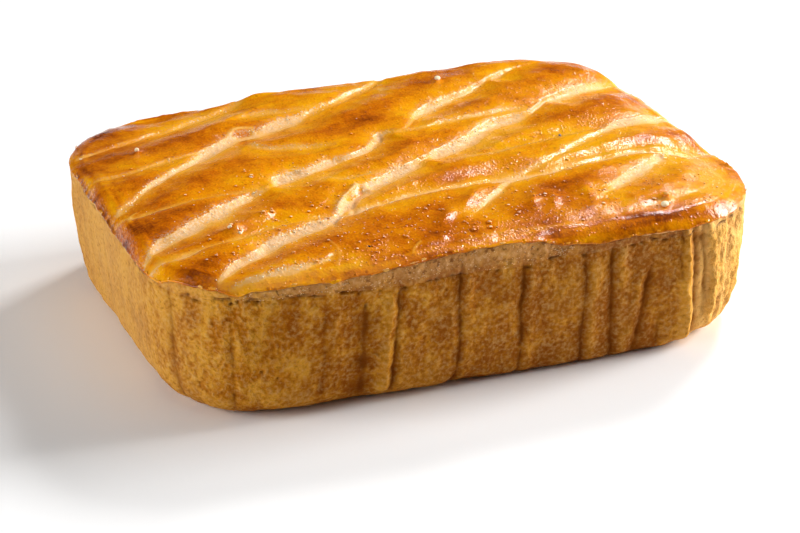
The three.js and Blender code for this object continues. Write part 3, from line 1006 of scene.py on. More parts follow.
@dataclass
class Lid:
    """The scored pastry lid, with its raised panels and its rolled edge."""

    outline: Outline
    noise: Noise
    skin: Skin
    columns: int = 344
    rows: int = 260
    edge_height: float = 3.1
    rise: float = 2.6
    rise_reach: float = 26.0
    puff: float = 1.5
    cut: float = 0.5
    joint_gap: float = 0.3
    far_left_drop: float = 2.6
    back_tilt: float = 1.6
    tilt_end: float = 0.55
    least_band: float = 0.45
    score_dip: float = 0.9
    lip_height: float = 0.4
    ring_width: float = 0.45
    band_rings: int = 7
    edge_rings: int = 12
    round_rings: int = 9
    round_depth: float = 4.4

    # Where the glaze ran down to the tray: it caramelised to a thick lip on the left side, and
    # gathered in beads near the right end of the near side. The lip is how far it stands proud.
    LIP = Stretch(-80, 28)
    CARAMEL = Stretch(-80, 27)
    BEADED_LIP = Stretch(90, 14)
    BEADED_CARAMEL = Stretch(86, 13)
    # Where the glaze stops short and leaves a wide bare band: its middle and half its length.
    BARE_MIDDLE = 30.0
    BARE_HALF = 46.0
    # Farther away than this, the ring round a blister doesn't show.
    RING_MARGIN = 2.5

    # How high the glaze ends above the foot, by run.
    GLAZE_END = (
        (-106, 34.2), (-92, 34.0), (-80, 34.6), (-62, 33.8), (-36, 33.7), (-30, 35.6), (-18, 36.0),
        (-14, 34.9), (-9, 36.3), (0, 36.5), (10, 35.8), (20, 36.3), (30, 37.0), (45, 38.1),
        (55, 38.4), (62, 37.4), (70, 35.3), (80, 34.5), (90, 34.9), (100, 34.4), (108, 34.9),
        (125, 34.3), (147, 34.9), (175, 34.6), (200, 34.9), (230, 34.0), (262, 36.0), (290, 35.0),
        (318, 36.0), (340, 35.0), (365, 34.0), (390, 33.9),
    )
    # How far inwards the lid's edge is rounded, by run.
    ROUND = (
        (-106, 2.8), (-60, 2.6), (-30, 3.2), (0, 3.4), (55, 3.0), (68, 3.6), (100, 4.4), (125, 4.2),
        (170, 3.0), (250, 3.2), (330, 2.8), (390, 2.8),
    )
    # How crisp that edge is, by run: 0 for a full quarter round, 1 for a thin edge.
    CRISP = (
        (-106, 0.3), (-60, 0.6), (-30, 0.9), (50, 0.9), (66, 0.4), (74, 0.1), (98, 0.1), (112, 0.7),
        (140, 0.8), (170, 0.7), (250, 0.2), (330, 0.6), (390, 0.4),
    )

    def panels(self, x: np.ndarray, y: np.ndarray) -> dict[str, np.ndarray]:
        """Works out how the scores part the lid.

        Args:
            x: The points' x.
            y: The points' y.

        Returns:
            "puff", 0 in a score to 1 on a panel; "cut", 1 in the middle of a score; "pale", how
            much raw pastry shows; "crest", which grows to 1 well away from any score; "torn",
            1 along a score's torn side; and "rise" and "dark" of the wrinkles.
        """
        flat = np.stack([x, y, np.zeros_like(x)], 1)
        ragged = 0.6 * self.noise.at(flat, 1.0) + 0.5 * self.noise.at(flat, 2.6)
        wander = 0.6 * self.noise.at(flat + 20, 5.0)
        patchy = 0.86 + 0.3 * self.noise.at(flat + 60, 3.2)
        # The scores show less raw pastry towards the far side.
        faded = 1 - 0.2 * ease((y + 0.25 * x - 5) / 45)
        found = {key: np.zeros_like(x) for key in ("cut", "pale", "torn", "rise", "dark")}
        puff = np.ones_like(x)
        crest = np.ones_like(x)
        for score in SLASHES + CREASES:
            distance, side, half, shown = score.measure(x, y)
            shown = np.clip(shown, 0, 1)
            torn = side == score.torn.value
            # How far a point lies outside the score, which wanders.
            gap = distance - half + wander * np.clip(half, 0, 1)
            width = ease(half / 1.6)
            parting = score.parting * (0.3 + 0.7 * width) * (0.45 + 0.55 * shown)
            slope = 1 - (1 - np.clip(gap / score.reach, 0, 1)) ** 2
            step = 0.4 * ease((gap + 0.8) / 0.9) + 0.6 * slope
            raised = np.where(torn, step, ease(gap / score.reach))
            puff = np.minimum(puff, 1 - parting * (1 - raised))
            crest = np.minimum(crest, ease(gap / 11))
            dip = parting * ease(-gap / np.maximum(half, 0.3))
            edge = gap + ragged * np.where(torn, 0.55, 0.5)
            inside = np.where(torn, ease(0.5 - edge / 0.5), ease((1.0 - edge) / (half + 1.4)))
            beyond = np.clip(gap, 0, None)
            thin = np.where(torn, 0.2 * np.exp(-beyond / 0.8), 0.38 * np.exp(-beyond / 2.6))
            pale = faded * shown * patchy * np.maximum(inside, thin)
            found["cut"] = np.maximum(found["cut"], dip)
            found["pale"] = np.maximum(found["pale"], pale)
            lip = np.where(torn, bell((gap + 0.3 * half) / (0.4 + 0.5 * half)), 0) * width
            found["torn"] = np.maximum(found["torn"], lip * faded**2 * shown**1.5)
        for line in WRINKLES:
            distance, _, half = line.measure(x, y)
            near = bell(distance / np.maximum(half + 0.15, 0.45)) * np.clip(patchy + 0.1, 0, 1)
            found["rise"] += line.rise * near
            # Painted shade in the wrinkles' hollows.
            found["dark"] = np.maximum(found["dark"], line.dark * near)
            covered = min(line.pale, 0) * near
            found["pale"] = np.maximum(found["pale"], line.pale * near) + covered
            found["torn"] *= 1 + covered
        found["pale"] = np.clip(found["pale"], 0, 1)
        return {"puff": puff, "crest": crest, **found}

    def top(self, x: np.ndarray, y: np.ndarray, parted: dict[str, np.ndarray]) -> np.ndarray:
        """Height of the lid's upper surface, before it rounds over at its edge.

        Args:
            x: The points' x.
            y: The points' y.
            parted: What panels() gives for the same points.

        Returns:
            One height for each point.
        """
        flat = np.stack([x, y, np.zeros_like(x)], 1)
        inset = self.outline.inset(x, y)
        half_length, half_width = self.outline.length / 2, self.outline.width / 2
        far = ease(y / half_width)
        tilt = self.back_tilt * far * np.minimum(x / half_length, self.tilt_end)
        drop = self.far_left_drop * far * ease(-x / half_length)
        height = self.skin.seam + self.joint_gap + self.edge_height - drop
        height = height + (self.rise + tilt) * shoulder(inset / self.rise_reach)
        height = height + self.puff * (parted["puff"] - 0.5) - self.cut * parted["cut"]
        height = height + 0.36 * self.noise.at(flat, 15) + 0.2 * self.noise.at(flat + 40, 6)
        creased = ease((16 - inset) / 14) * (1 - parted["pale"])
        rim = self.skin.ring(self.outline.run(x, y), inset)
        height = height + 0.26 * creased * self.noise.at(rim, (11, 11, 2.4))
        height = height + 0.11 * self.noise.at(flat + 90, 3.1) * (1 - parted["pale"])
        height = height + 0.05 * self.noise.at(flat, 1.6)
        height = height + 0.12 * self.noise.at(flat, 1.1) * parted["torn"]
        return height + parted["rise"] + sum(mound.height(x, y) for mound in MOUNDS)

    def surface(self, x: np.ndarray, y: np.ndarray) -> np.ndarray:
        """Works out the height of the finished lid, which rounds over at its edge.

        Args:
            x: The x of points inside the edge.
            y: Their y.

        Returns:
            One height for each point.
        """
        inset = self.outline.inset(x, y)
        run = self.outline.run(x, y)
        top = self.top(x, y, self.panels(x, y))
        end = self.glaze_end(run) + self.lip_height
        crisp = around(run, self.CRISP, self.outline.around)
        inwards = np.clip(inset / self.rounding(run), 0, 1)
        rolled = shoulder(inwards)
        return end + (top - end) * (rolled + crisp * (1 - (1 - inwards) ** 1.7 - rolled))

    def rounding(self, run: np.ndarray) -> np.ndarray:
        """How far inwards the lid's edge is rounded."""
        return around(run, self.ROUND, self.outline.around)

    def glaze_end(self, run: np.ndarray) -> np.ndarray:
        """Works out the height of the glaze's lower edge, which dips where a score meets it.

        Args:
            run: Where it is wanted, along the outline.

        Returns:
            One height for each run.
        """
        x, y = self.outline.place(run, np.full_like(run, 1.0))
        puff = self.panels(x, y)["puff"]
        level = self.skin.ring(run, 0.0)
        ripple = 0.3 * self.noise.at(level, 6) + 0.2 * self.noise.at(level, 2.2)
        ripple = ripple + 0.12 * self.noise.at(level, 1.0)
        wave = around(run, self.GLAZE_END, self.outline.around)
        lowest = self.skin.joint(run) + self.least_band
        return np.maximum(wave + ripple - self.score_dip * (1 - puff), lowest)

    def lip(self, run: np.ndarray) -> np.ndarray:
        """Works out how far the glaze's edge stands proud, most where it has caramelised.

        Args:
            run: Where it is wanted, along the outline.

        Returns:
            One distance for each run.
        """
        thick = self.LIP.share(self.outline, run)
        level = self.skin.ring(run, 5.0)
        beads = self.noise.at(level, 1.7) + 0.5 * self.noise.at(level, 0.8)
        beaded = self.BEADED_LIP.share(self.outline, run)
        return 0.12 + 0.42 * thick + 0.3 * beaded + (0.12 + 0.25 * thick) * beads

    def rings(self) -> tuple[np.ndarray, ...]:
        """Lays the grid's rings inside each other.

        Returns:
            Ring number, share along its side, and side, for each grid point, row after row.
        """
        row, column = np.indices((self.rows + 1, self.columns + 1))
        from_left, from_right = column, self.columns - column
        from_near, from_far = row, self.rows - row
        ring = np.minimum.reduce([from_left, from_right, from_near, from_far])
        side = np.select(
            [from_near == ring, from_right == ring, from_far == ring], [0, 1, 2], default=3
        )
        step = np.select(
            [side == 0, side == 1, side == 2], [column, row, from_right], default=from_far
        )
        cells = np.where(side % 2 == 0, self.columns, self.rows) - 2 * ring
        share = np.where(cells > 0, (step - ring) / np.maximum(cells, 1), 0.5)
        return ring, share, side

    def spread(
        self, depth: np.ndarray, share: np.ndarray, side: np.ndarray
    ) -> tuple[np.ndarray, np.ndarray, np.ndarray]:
        """Places points by the inset of their ring and their share along one side of it.

        Args:
            depth: Inset of each point's ring.
            share: 0 at the middle of the corner before the side, 1 at the corner after it.
            side: Near, right, far or left, as 0 to 3.

        Returns:
            x, y and run of each point.
        """
        outline = self.outline
        reach = np.clip(outline.radius - depth, 0, None)
        beyond = np.clip(depth - outline.radius, 0, None)
        straight = outline.straights[side] - 2 * beyond
        arc = reach * math.pi / 4
        along = share * (straight + 2 * arc) - arc
        bend = np.where(along < 0, along, np.clip(along - straight, 0, None))
        bend = np.where(reach > TINY, bend / np.maximum(reach, TINY), 0)
        flat = np.clip(along, 0, straight) + beyond
        run = outline.starts[side] + flat + bend * outline.radius
        x, y = outline.place(run, np.minimum(depth, outline.radius))
        turn = (side - 1) * math.pi / 2
        inner_x = x - np.cos(turn) * beyond
        inner_y = y - np.sin(turn) * beyond
        return inner_x, inner_y, run

    def relax(self, x: np.ndarray, y: np.ndarray, free: np.ndarray, rounds: int = 80) -> None:
        """Evens out the grid where it turns the lid's corners, in place.

        Args:
            x: The grid points' x, which is changed.
            y: Their y, which is changed.
            free: Which of them may move.
            rounds: How often each is moved to the middle of its neighbours.
        """
        for _ in range(rounds):
            for values in (x, y):
                mean = values.copy()
                mean[1:-1, 1:-1] = (
                    values[:-2, 1:-1] + values[2:, 1:-1] + values[1:-1, :-2] + values[1:-1, 2:]
                ) / 4
                values[free] = mean[free]

    def build(self, blisters: list[Bead]) -> bpy.types.Object:
        """Makes the lid as one closed piece.

        Args:
            blisters: Bubbles in the glaze, which brown it round their feet.

        Returns:
            The lid's object, with the fields that its finish reads.
        """
        ring, share, side = self.rings()
        first_top = self.edge_rings + self.round_rings
        turn = np.clip(ring - self.edge_rings + 1, 0, self.round_rings) / self.round_rings
        depth = self.round_depth * (1 - np.cos(turn * math.pi / 2))
        inner_rings = self.rows // 2 - first_top + 1
        spacing = (self.outline.width / 2 - self.round_depth) / inner_rings
        depth = depth + np.clip(ring - first_top + 1, 0, None) * spacing
        x, y, run = self.spread(depth, share, side)
        self.relax(x, y, ring > first_top)

        x, y, run, ring = x.ravel(), y.ravel(), run.ravel(), ring.ravel()
        depth = depth.ravel()
        parted = self.panels(x, y)
        height = self.top(x, y, parted)
        rim = ring < first_top
        height[rim] = self.surface(x[rim], y[rim])

        edge = ring < self.edge_rings
        end = np.zeros_like(run)
        end[rim] = self.glaze_end(run[rim])
        joint = self.skin.joint(run)
        lip = self.lip(run)
        last = self.band_rings
        level = np.clip((ring - 2) / (last - 2), 0, 1)
        low, high = joint - 0.35, end - 0.15
        band_height = low + (high - low) * level
        # The band takes the side's fields, with their painted shade and light.
        wall = {}
        for key, values in self.skin.read(run[rim], band_height[rim]).items():
            wall[key] = np.zeros_like(run)
            wall[key][rim] = values
        relief, swell = wall.pop("relief"), wall.pop("swell")
        bare = self.outline.apart(run, self.BARE_MIDDLE)
        raw = ease((bare + self.BARE_HALF) / 12) * ease((self.BARE_HALF - bare) / 10)
        crumb = self.noise.rough(self.skin.ring(run, band_height), 1.3) * (0.06 + 0.16 * raw)
        # Two rings under the lid, then the bare band, a groove under the glaze, and its lip.
        groove, first_lip, fullest = last + 1, last + 2, last + 3
        edge_inset = np.select(
            [ring == 0, ring == 1, ring <= last, ring == groove, ring == first_lip, ring == fullest],
            [3.0, 0.9, -0.03 - crumb * ease(level * 3), 0.1, -0.7 * lip, -lip],
            default=-0.85 * lip,
        )
        edge_height = np.select(
            [ring == 0, ring <= last, ring == groove, ring == first_lip, ring == fullest],
            [joint, band_height, end - 0.08, end + 0.04, end + self.lip_height / 2],
            default=end + self.lip_height - 0.02,
        )
        outer = np.clip(1 - depth / self.round_depth, 0, 1)
        rolled = 0.3 * lip * outer**2
        # The band follows the wall below it closely, and the glaze only its slow part.
        loose = ease((ring - last) / 4)
        follow = (relief * (1 - loose) + swell * loose) * outer
        inset = np.where(edge, edge_inset, depth - rolled) - follow * (ring > 1)
        height = np.where(edge, edge_height, height)
        rim_x, rim_y = self.outline.place(run, inset)
        x = np.where(rim, rim_x, x)
        y = np.where(rim, rim_y, y)

        thick = self.CARAMEL.share(self.outline, run)
        beaded = self.BEADED_CARAMEL.share(self.outline, run)
        near_lip = ease(1.15 - np.abs(ring - fullest - 0.5) / 5)
        fields = {
            "pale": np.where(edge, 0, parted["pale"]),
            "bake": self.bake(x, y, parted, blisters),
            "torn": np.where(edge, 0, parted["torn"]),
            "dark": np.where(edge, 0, parted["dark"]),
            "band": 1.0 * ((ring > 0) & (ring <= groove)),
            "raw": raw * ease(level * 1.6),
            "caramel": near_lip * (0.04 + 0.85 * thick + 0.4 * beaded),
            **wall,
        }
        points = np.stack([x, y, height], 1)
        return grid_shell("lid_crust", self.columns, self.rows, points, fields)

    def bake(
        self, x: np.ndarray, y: np.ndarray, parted: dict[str, np.ndarray], blisters: list[Bead]
    ) -> np.ndarray:
        """Works out how brown the glaze is.

        Args:
            x: The points' x.
            y: The points' y.
            parted: What panels() gives for the same points.
            blisters: Bubbles in the glaze.

        Returns:
            0 for pale gold to 1 for dark brown, for each point.
        """
        flat = np.stack([x, y, np.zeros_like(x)], 1)
        amount = 0.24 + 0.3 * parted["crest"] + 0.15 * self.noise.rough(flat, 12)
        amount = amount + 0.12 * parted["torn"]
        inset = self.outline.inset(x, y)
        rim = self.skin.ring(self.outline.run(x, y), inset)
        amount = amount + 0.3 * ease((8 - inset) / 6) * self.noise.at(rim, (8, 8, 0.9))
        amount = amount + sum(browning.amount(x, y) for browning in BROWNINGS)
        for bead in blisters:
            if bead.ring:
                near_x = np.abs(x - bead.x) < self.RING_MARGIN
                close = near_x & (np.abs(y - bead.y) < self.RING_MARGIN)
                away = np.hypot(x[close] - bead.x, y[close] - bead.y)
                amount[close] += bead.ring * bell((away - bead.radius) / self.ring_width)
        return np.clip(amount, 0, 1)


# ---- What lies on the lid ----


# x, y, radius, and how brown the ring is if it isn't the usual one.
LARGE_BLISTERS = tuple(
    Bead(*row)
    for row in (
        (-56.4, -28.9, 0.6), (-54.9, -31.3, 0.5), (-41.7, -0.5, 0.6, 0.3), (-47.2, -4.7, 0.45),
        (-71, 14.4, 0.45), (50.8, -49.3, 1.0, 0.3), (-1.9, -50.5, 0.7, 0.35),
        (3.2, -48.2, 0.7, 0.35), (2.5, -50.6, 0.6, 0.3), (12.1, -45.9, 0.6), (47.4, -49.2, 0.6),
        (34, -48.1, 0.6), (25.8, -53.7, 0.5), (-18.5, -48.4, 0.55), (-43.2, -53.2, 0.55),
        (-47, -47.4, 0.65), (-64.5, -42.2, 0.55), (-45.7, -33.7, 0.45), (-30, -24.5, 0.5),
        (-35.4, -25.9, 0.5), (-40.5, -27.2, 0.45), (-33.5, -23.2, 0.45), (-46.6, -24.4, 0.6, 0.05),
        (-44.2, -24, 0.65, 0.05), (-37.2, -44.7, 0.5), (11.7, -40.5, 0.5), (-8.5, -35.9, 0.45),
        (-5.5, -37.5, 0.45), (-0.6, -31.7, 0.45), (-10.2, -34.7, 0.4), (22.4, -38.8, 0.65, 0.25),
        (38.6, -17.3, 0.5),
    )
)


def gather(whole: bmesh.types.BMesh, batch: bmesh.types.BMesh) -> None:
    """Adds a small bmesh to a large one.

    Args:
        whole: The large bmesh.
        batch: The small one, which is freed.
    """
    part = bpy.data.meshes.new("batch")
    batch.to_mesh(part)
    batch.free()
    whole.from_mesh(part)
    bpy.data.meshes.remove(part)


def dotted(
    name: str,
    spots: np.ndarray,
    radii: np.ndarray,
    flat: float,
    fields: dict[str, np.ndarray],
    rugged: bool = False,
) -> bpy.types.Object:
    """Joins many small bodies to one piece.

    Domes get the glint field at their tops only, as a painted glint; broken bits get it all over, as the
    white of crumbs.

    Args:
        name: Name of the new object.
        spots: Centre of each body in millimetres.
        radii: Radius of each body.
        flat: Height of a body as a share of its width.
        fields: Values for the finish to read, one for each body.
        rugged: Whether the bodies are broken bits, and not smooth domes.

    Returns:
        The new object.
    """
    draw = np.random.default_rng(len(spots))
    whole = bmesh.new()
    for index, (spot, radius) in enumerate(zip(spots, radii)):
        if index % BATCH == 0:
            shell = bmesh.new()
            layers = {field: shell.verts.layers.float.new(field) for field in fields}
        turn = Matrix.Rotation(draw.uniform(0, math.tau), 4, "Z")
        place = Matrix.Translation(Vector(spot) * MM) @ turn
        if rugged:
            tip = Matrix.Rotation(draw.uniform(-0.8, 0.8), 4, "X")
            shape = Matrix.Diagonal((draw.uniform(0.8, 1.5), draw.uniform(0.7, 1.1), flat, 1))
            made = bmesh.ops.create_icosphere(
                shell,
                subdivisions=2 if radius > FINE_BIT else 1,
                radius=radius * MM,
                matrix=place @ tip @ shape,
            )
        else:
            made = bmesh.ops.create_uvsphere(
                shell,
                u_segments=9,
                v_segments=6,
                radius=radius * MM,
                matrix=place @ Matrix.Diagonal((1, 1, flat, 1)),
            )
        for field, layer in layers.items():
            value = fields[field][index]
            for vertex in made["verts"]:
                vertex[layer] = value
                if field == "glint_and_crumb_white" and not rugged:
                    above = (vertex.co.z - spot[2] * MM) / (radius * flat * MM)
                    vertex[layer] = value * (above > GLINT_FROM)
        if index % BATCH == BATCH - 1 or index == len(spots) - 1:
            gather(whole, shell)
    return finished(name, whole, smooth=not rugged)


@dataclass
class Blisters:
    """Bubbles in the glaze, most of them along the near edge."""

    lid: Lid
    many: int = 560
    near_share: float = 0.72
    smallest: float = 0.14
    largest: float = 0.46
    browned_from: float = 0.26
    edge_gap: float = 2.5
    palest: float = 0.25
    seed: int = 23
    glint_seed: int = 31

    def beads(self) -> list[Bead]:
        """Places all blisters.

        Returns:
            The large ones, and small ones drawn at random off the scores.
        """
        draw = np.random.default_rng(self.seed)
        count = self.many
        near = draw.random(count) < self.near_share
        x = np.where(near, draw.uniform(-76, 68, count), draw.normal(-40, 40, count))
        y = np.where(near, draw.normal(-45, 7, count), draw.normal(-18, 22, count))
        size = self.smallest + (self.largest - self.smallest) * draw.random(count) ** 2.8
        kept = self.lid.outline.inset(x, y) > self.edge_gap
        kept &= self.lid.panels(x, y)["pale"] < self.palest
        browned = np.where(size > self.browned_from, 0.1, 0.0)
        small = [Bead(*values) for values in zip(x[kept], y[kept], size[kept], browned[kept])]
        return list(LARGE_BLISTERS) + small

    def build(self, beads: list[Bead]) -> bpy.types.Object:
        """Makes the blisters as one piece.

        Args:
            beads: What beads() gives.

        Returns:
            The new object.
        """
        x, y, radii = (np.array([getattr(b, key) for b in beads]) for key in ("x", "y", "radius"))
        flat = beads[0].flat
        height = self.lid.surface(x, y) + radii * flat * (1 - 2 * beads[0].sunk)
        parted = self.lid.panels(x, y)
        bake = self.lid.bake(x, y, parted, []) - 0.02
        # How strongly each blister's top is painted with a glint.
        glint = np.random.default_rng(self.glint_seed).uniform(0.1, 0.75, len(beads))
        fields = {"bake": bake, "pale": parted["pale"] * 0.5, "glint_and_crumb_white": glint}
        return dotted("glaze_blisters", np.stack([x, y, height], 1), radii, flat, fields)


@dataclass
class Crumbs:
    """Crumbs of raw pastry, thick along the torn sides of the scores and on the bare edge."""

    lid: Lid
    each_step: float = 3.5
    on_edge: int = 420
    loose: int = 170
    smallest: float = 0.1
    largest: float = 0.3
    edge_gap: float = 1.2
    seed: int = 41

    # A big crumb that lies loose near the edge, and a few more: x, y and radius.
    BIG = (
        (48.8, -52.5, 1.0), (50.3, -52, 0.55), (-63.2, 29, 0.7), (28.1, 45, 0.75),
        (-42, -1, 0.45), (-76.3, 36.2, 0.5), (-57, -29.6, 0.6), (-55.2, -32, 0.5),
    )

    def torn_sides(self, draw: np.random.Generator) -> list[tuple[float, float, float]]:
        """Places crumbs along the scores.

        Args:
            draw: Source of the random draws.

        Returns:
            x, y and radius of each crumb.
        """
        found = []
        for score in SLASHES + CREASES:
            path = score.path()
            ahead = np.gradient(path[:, :2], axis=0)
            ahead = ahead / np.hypot(*ahead.T)[:, None]
            across = np.stack([-ahead[:, 1], ahead[:, 0]], 1) * score.torn.value
            at = draw.integers(0, len(path), int(len(path) * self.each_step))
            at = at[draw.random(len(at)) < np.clip(path[at, 3], 0, 1) ** 3]
            count = len(at)
            out = path[at, 2] * (1.0 - 1.3 * draw.random(count) ** 1.7) + 0.1
            spots = path[at, :2] + across[at] * out[:, None] + draw.normal(0, 0.45, (count, 2))
            sizes = self.smallest + (self.largest - self.smallest) * draw.random(count) ** 2.2
            found += [(*spot, size) for spot, size in zip(spots, sizes) if path[:, 2].max() > 1]
        return found

    def build(self) -> bpy.types.Object:
        """Makes the crumbs as one piece.

        Returns:
            The new object.
        """
        draw = np.random.default_rng(self.seed)
        outline = self.lid.outline
        found = self.torn_sides(draw) + list(self.BIG)
        for _ in range(self.loose):
            found.append((draw.uniform(-74, 68), draw.normal(-34, 20), draw.uniform(0.09, 0.2)))
        x, y, radii = (np.array(values) for values in zip(*found))
        inside = outline.inset(x, y) > self.edge_gap
        x, y, radii = x[inside], y[inside], radii[inside]
        height = self.lid.surface(x, y) + np.where(radii > 0.5, 0.4, -0.15) * radii

        run = draw.uniform(-14, 72, self.on_edge)
        low, high = self.lid.skin.joint(run) - 0.3, self.lid.glaze_end(run) - 0.25
        level = low + (high - low) * draw.random(self.on_edge)
        size = draw.uniform(0.12, 0.28, self.on_edge)
        edge_x, edge_y = outline.place(run, -self.lid.skin.read(run, level)["relief"] + 0.3 * size)
        spots = np.concatenate([np.stack([x, y, height], 1), np.stack([edge_x, edge_y, level], 1)])
        radii = np.concatenate([radii, size])
        side = np.repeat((0.0, 1.0), (len(x), self.on_edge))
        glint_and_crumb_white = draw.uniform(0.7, 1.0, len(spots)) * (1 - 0.7 * side)
        # Edge crumbs count as raised, so the finish paints them lighter.
        fields = {"glint_and_crumb_white": glint_and_crumb_white, "pale": 1 - side, "band": side, "raw": side, "raised": 0.7 * side}
        return dotted("crumbs", spots, radii, 0.7, fields, rugged=True)


@dataclass
class Specks:
    """Burnt specks: a black one, a grey one and some fine brown ones."""

    lid: Lid
    fine: int = 70
    seed: int = 53

    # The black one and the grey one: x, y and radius.
    KNOWN = ((-29, -50.6, 0.42), (43.7, -2, 0.5))
    KNOWN_LIGHTNESS = (0.0, 1.0)
    FINE_LIGHTNESS = 0.45

    def build(self) -> bpy.types.Object:
        """Makes the specks as one piece.

        Returns:
            The new object.
        """
        draw = np.random.default_rng(self.seed)
        found = list(self.KNOWN)
        for _ in range(self.fine):
            found.append((draw.uniform(-72, 70), draw.uniform(-50, 50), draw.uniform(0.1, 0.17)))
        x, y, radii = (np.array(values) for values in zip(*found))
        height = self.lid.surface(x, y) + 0.2 * radii
        lightness = self.KNOWN_LIGHTNESS + (self.FINE_LIGHTNESS,) * self.fine
        fields = {"lightness": np.array(lightness)}
        return dotted("burnt_specks", np.stack([x, y, height], 1), radii, 0.6, fields, rugged=True)


@dataclass
class Flakes:
    """Thin flakes of pastry that stand off along the edge of the glaze."""

    lid: Lid
    many: int = 80
    near_share: float = 0.6
    thickness: float = 0.09
    seed: int = 61

    # Where larger flakes hang: run, length, height and height above the edge of the glaze.
    KNOWN = (
        (10, 2.4, 0.7, 0.0), (23, 1.7, 0.6, 0.1), (30.5, 2.2, 0.7, 0.0), (72, 2.0, 0.6, 0.4),
        (92, 3.2, 0.45, 0.0), (96, 4.4, 0.5, -0.1), (100, 3.4, 0.45, 0.0),
    )
    # Length from which a flake is pale all over.
    LONG = 2.8

    def build(self) -> bpy.types.Object:
        """Makes the flakes as one piece.

        Returns:
            The new object.
        """
        draw = np.random.default_rng(self.seed)
        flakes = list(self.KNOWN)
        for _ in range(self.many):
            near = draw.random() < self.near_share
            run = draw.uniform(-35, 104) if near else draw.uniform(104, 470)
            long, tall = draw.uniform(0.5, 1.7), draw.uniform(0.3, 0.6)
            flakes.append((run, long, tall, draw.uniform(-0.1, 0.6)))
        runs = np.array([flake[0] for flake in flakes])
        ends = self.lid.glaze_end(runs)
        relief = self.lid.skin.read(runs, ends)["relief"]
        shell = bmesh.new()
        pale = shell.verts.layers.float.new("pale")
        bake = shell.verts.layers.float.new("bake")
        for (run, long, tall, above), end, proud in zip(flakes, ends, relief):
            made = bmesh.ops.create_grid(shell, x_segments=6, y_segments=3, size=0.5)["verts"]
            lean = draw.uniform(0.15, 0.55)
            whiteness = draw.choice((0.05, 0.3, 0.6), p=(0.55, 0.3, 0.15))
            whiteness = max(whiteness, 0.75 * (long > self.LONG))
            brown = draw.uniform(0.1, 0.45)
            out = proud + self.lid.lip(np.array([run]))[0] * 0.8
            for vertex in made:
                u, v = vertex.co.x, vertex.co.y
                taper = math.sqrt(1.02 - 4 * u * u)
                along = run + u * long + 0.08 * long * draw.uniform(-1, 1)
                level = end + above + (v * taper + 0.5 + 0.2 * draw.uniform(-1, 1)) * tall
                reach = out + (0.5 - v) * lean * tall - 0.9 * abs(u) ** 2 * lean - 0.1
                x, y = self.lid.outline.place(np.array([along]), np.array([-reach]))
                vertex.co = Vector((x[0], y[0], level)) * MM
                vertex[pale] = whiteness
                vertex[bake] = brown
            faces = list({face for vertex in made for face in vertex.link_faces})
            bmesh.ops.solidify(shell, geom=faces, thickness=self.thickness * MM)
        bmesh.ops.recalc_face_normals(shell, faces=shell.faces)
        return finished("edge_flakes", shell)


# ---- The case ----


@dataclass
class Case:
    """The raised pastry case, from its flat base to the joint with the lid."""

    outline: Outline
    skin: Skin
    columns: int = 1280
    foot_rows: int = 7
    wall_rows: int = 66
    top_rows: int = 2
    edge: float = 0.2
    taper: float = 3.8
    belly: float = 0.9

    # Radius of the rounded foot, by run.
    FOOT = (
        (-110, 4.0), (-60, 5.5), (-35, 7.0), (10, 6.0), (40, 4.6), (60, 3.2), (80, 2.6), (100, 3.0),
        (112, 6.0), (150, 5.0), (220, 5.5), (300, 4.0), (360, 5.5),
    )

    def build(self) -> bpy.types.Object:
        """Makes the case as one closed piece.

        Returns:
            The case's object, with the fields that its finish reads.
        """
        rows = self.foot_rows + self.wall_rows + self.top_rows
        row, column = np.indices((rows + 1, self.columns + 1))
        row, column = row.ravel(), column.ravel()
        run = column / self.columns * self.outline.around
        seam = self.skin.joint(run)
        foot = around(run, self.FOOT, self.outline.around)

        turn = np.clip(row / self.foot_rows, 0, 1) * math.pi / 2
        up = np.clip((row - self.foot_rows) / self.wall_rows, 0, 1)
        over = np.clip((row - self.foot_rows - self.wall_rows) / self.top_rows, 0, 1) * math.pi / 2
        height = foot * (1 - np.cos(turn)) + up * (seam - self.edge - foot)
        height = height + self.edge * np.sin(over)
        inset = foot * (1 - np.sin(turn)) + 3 * self.edge * (1 - np.cos(over))
        share = np.clip(height / seam, 0, 1)
        inset = inset + self.taper * (1 - share) - self.belly * np.sin(math.pi * share)

        fields = self.skin.read(run, height)
        relief = fields.pop("relief")
        x, y = self.outline.place(run, inset - relief * (0.55 + 0.45 * ease(height / 2)))
        # The foot lifts off the ground here and there, and where a fold meets it.
        lumps = self.skin.noise.at(self.skin.ring(run, 4.0), 5)
        lifted = np.clip(lumps - 0.05, 0, 1) + 0.9 * fields["fold"]
        lifted = lifted * ease(height / 0.4) * bell(height / 1.4 - 0.9)
        points = np.stack([x, y, height + lifted], 1)
        return grid_shell("case_crust", self.columns, rows, points, fields, closes=True)


# ---- Finishes ----


@dataclass(frozen=True)
class Tint:
    """A colour laid over those before it, as strongly as a pattern or a field says.

    It grows from the least strength, where the source is at low, to the most, at high. Where
    within names another source, it is multiplied by that.
    """

    source: str
    low: float
    high: float
    most: float
    colour: str
    least: float = 0.0
    within: str = ""


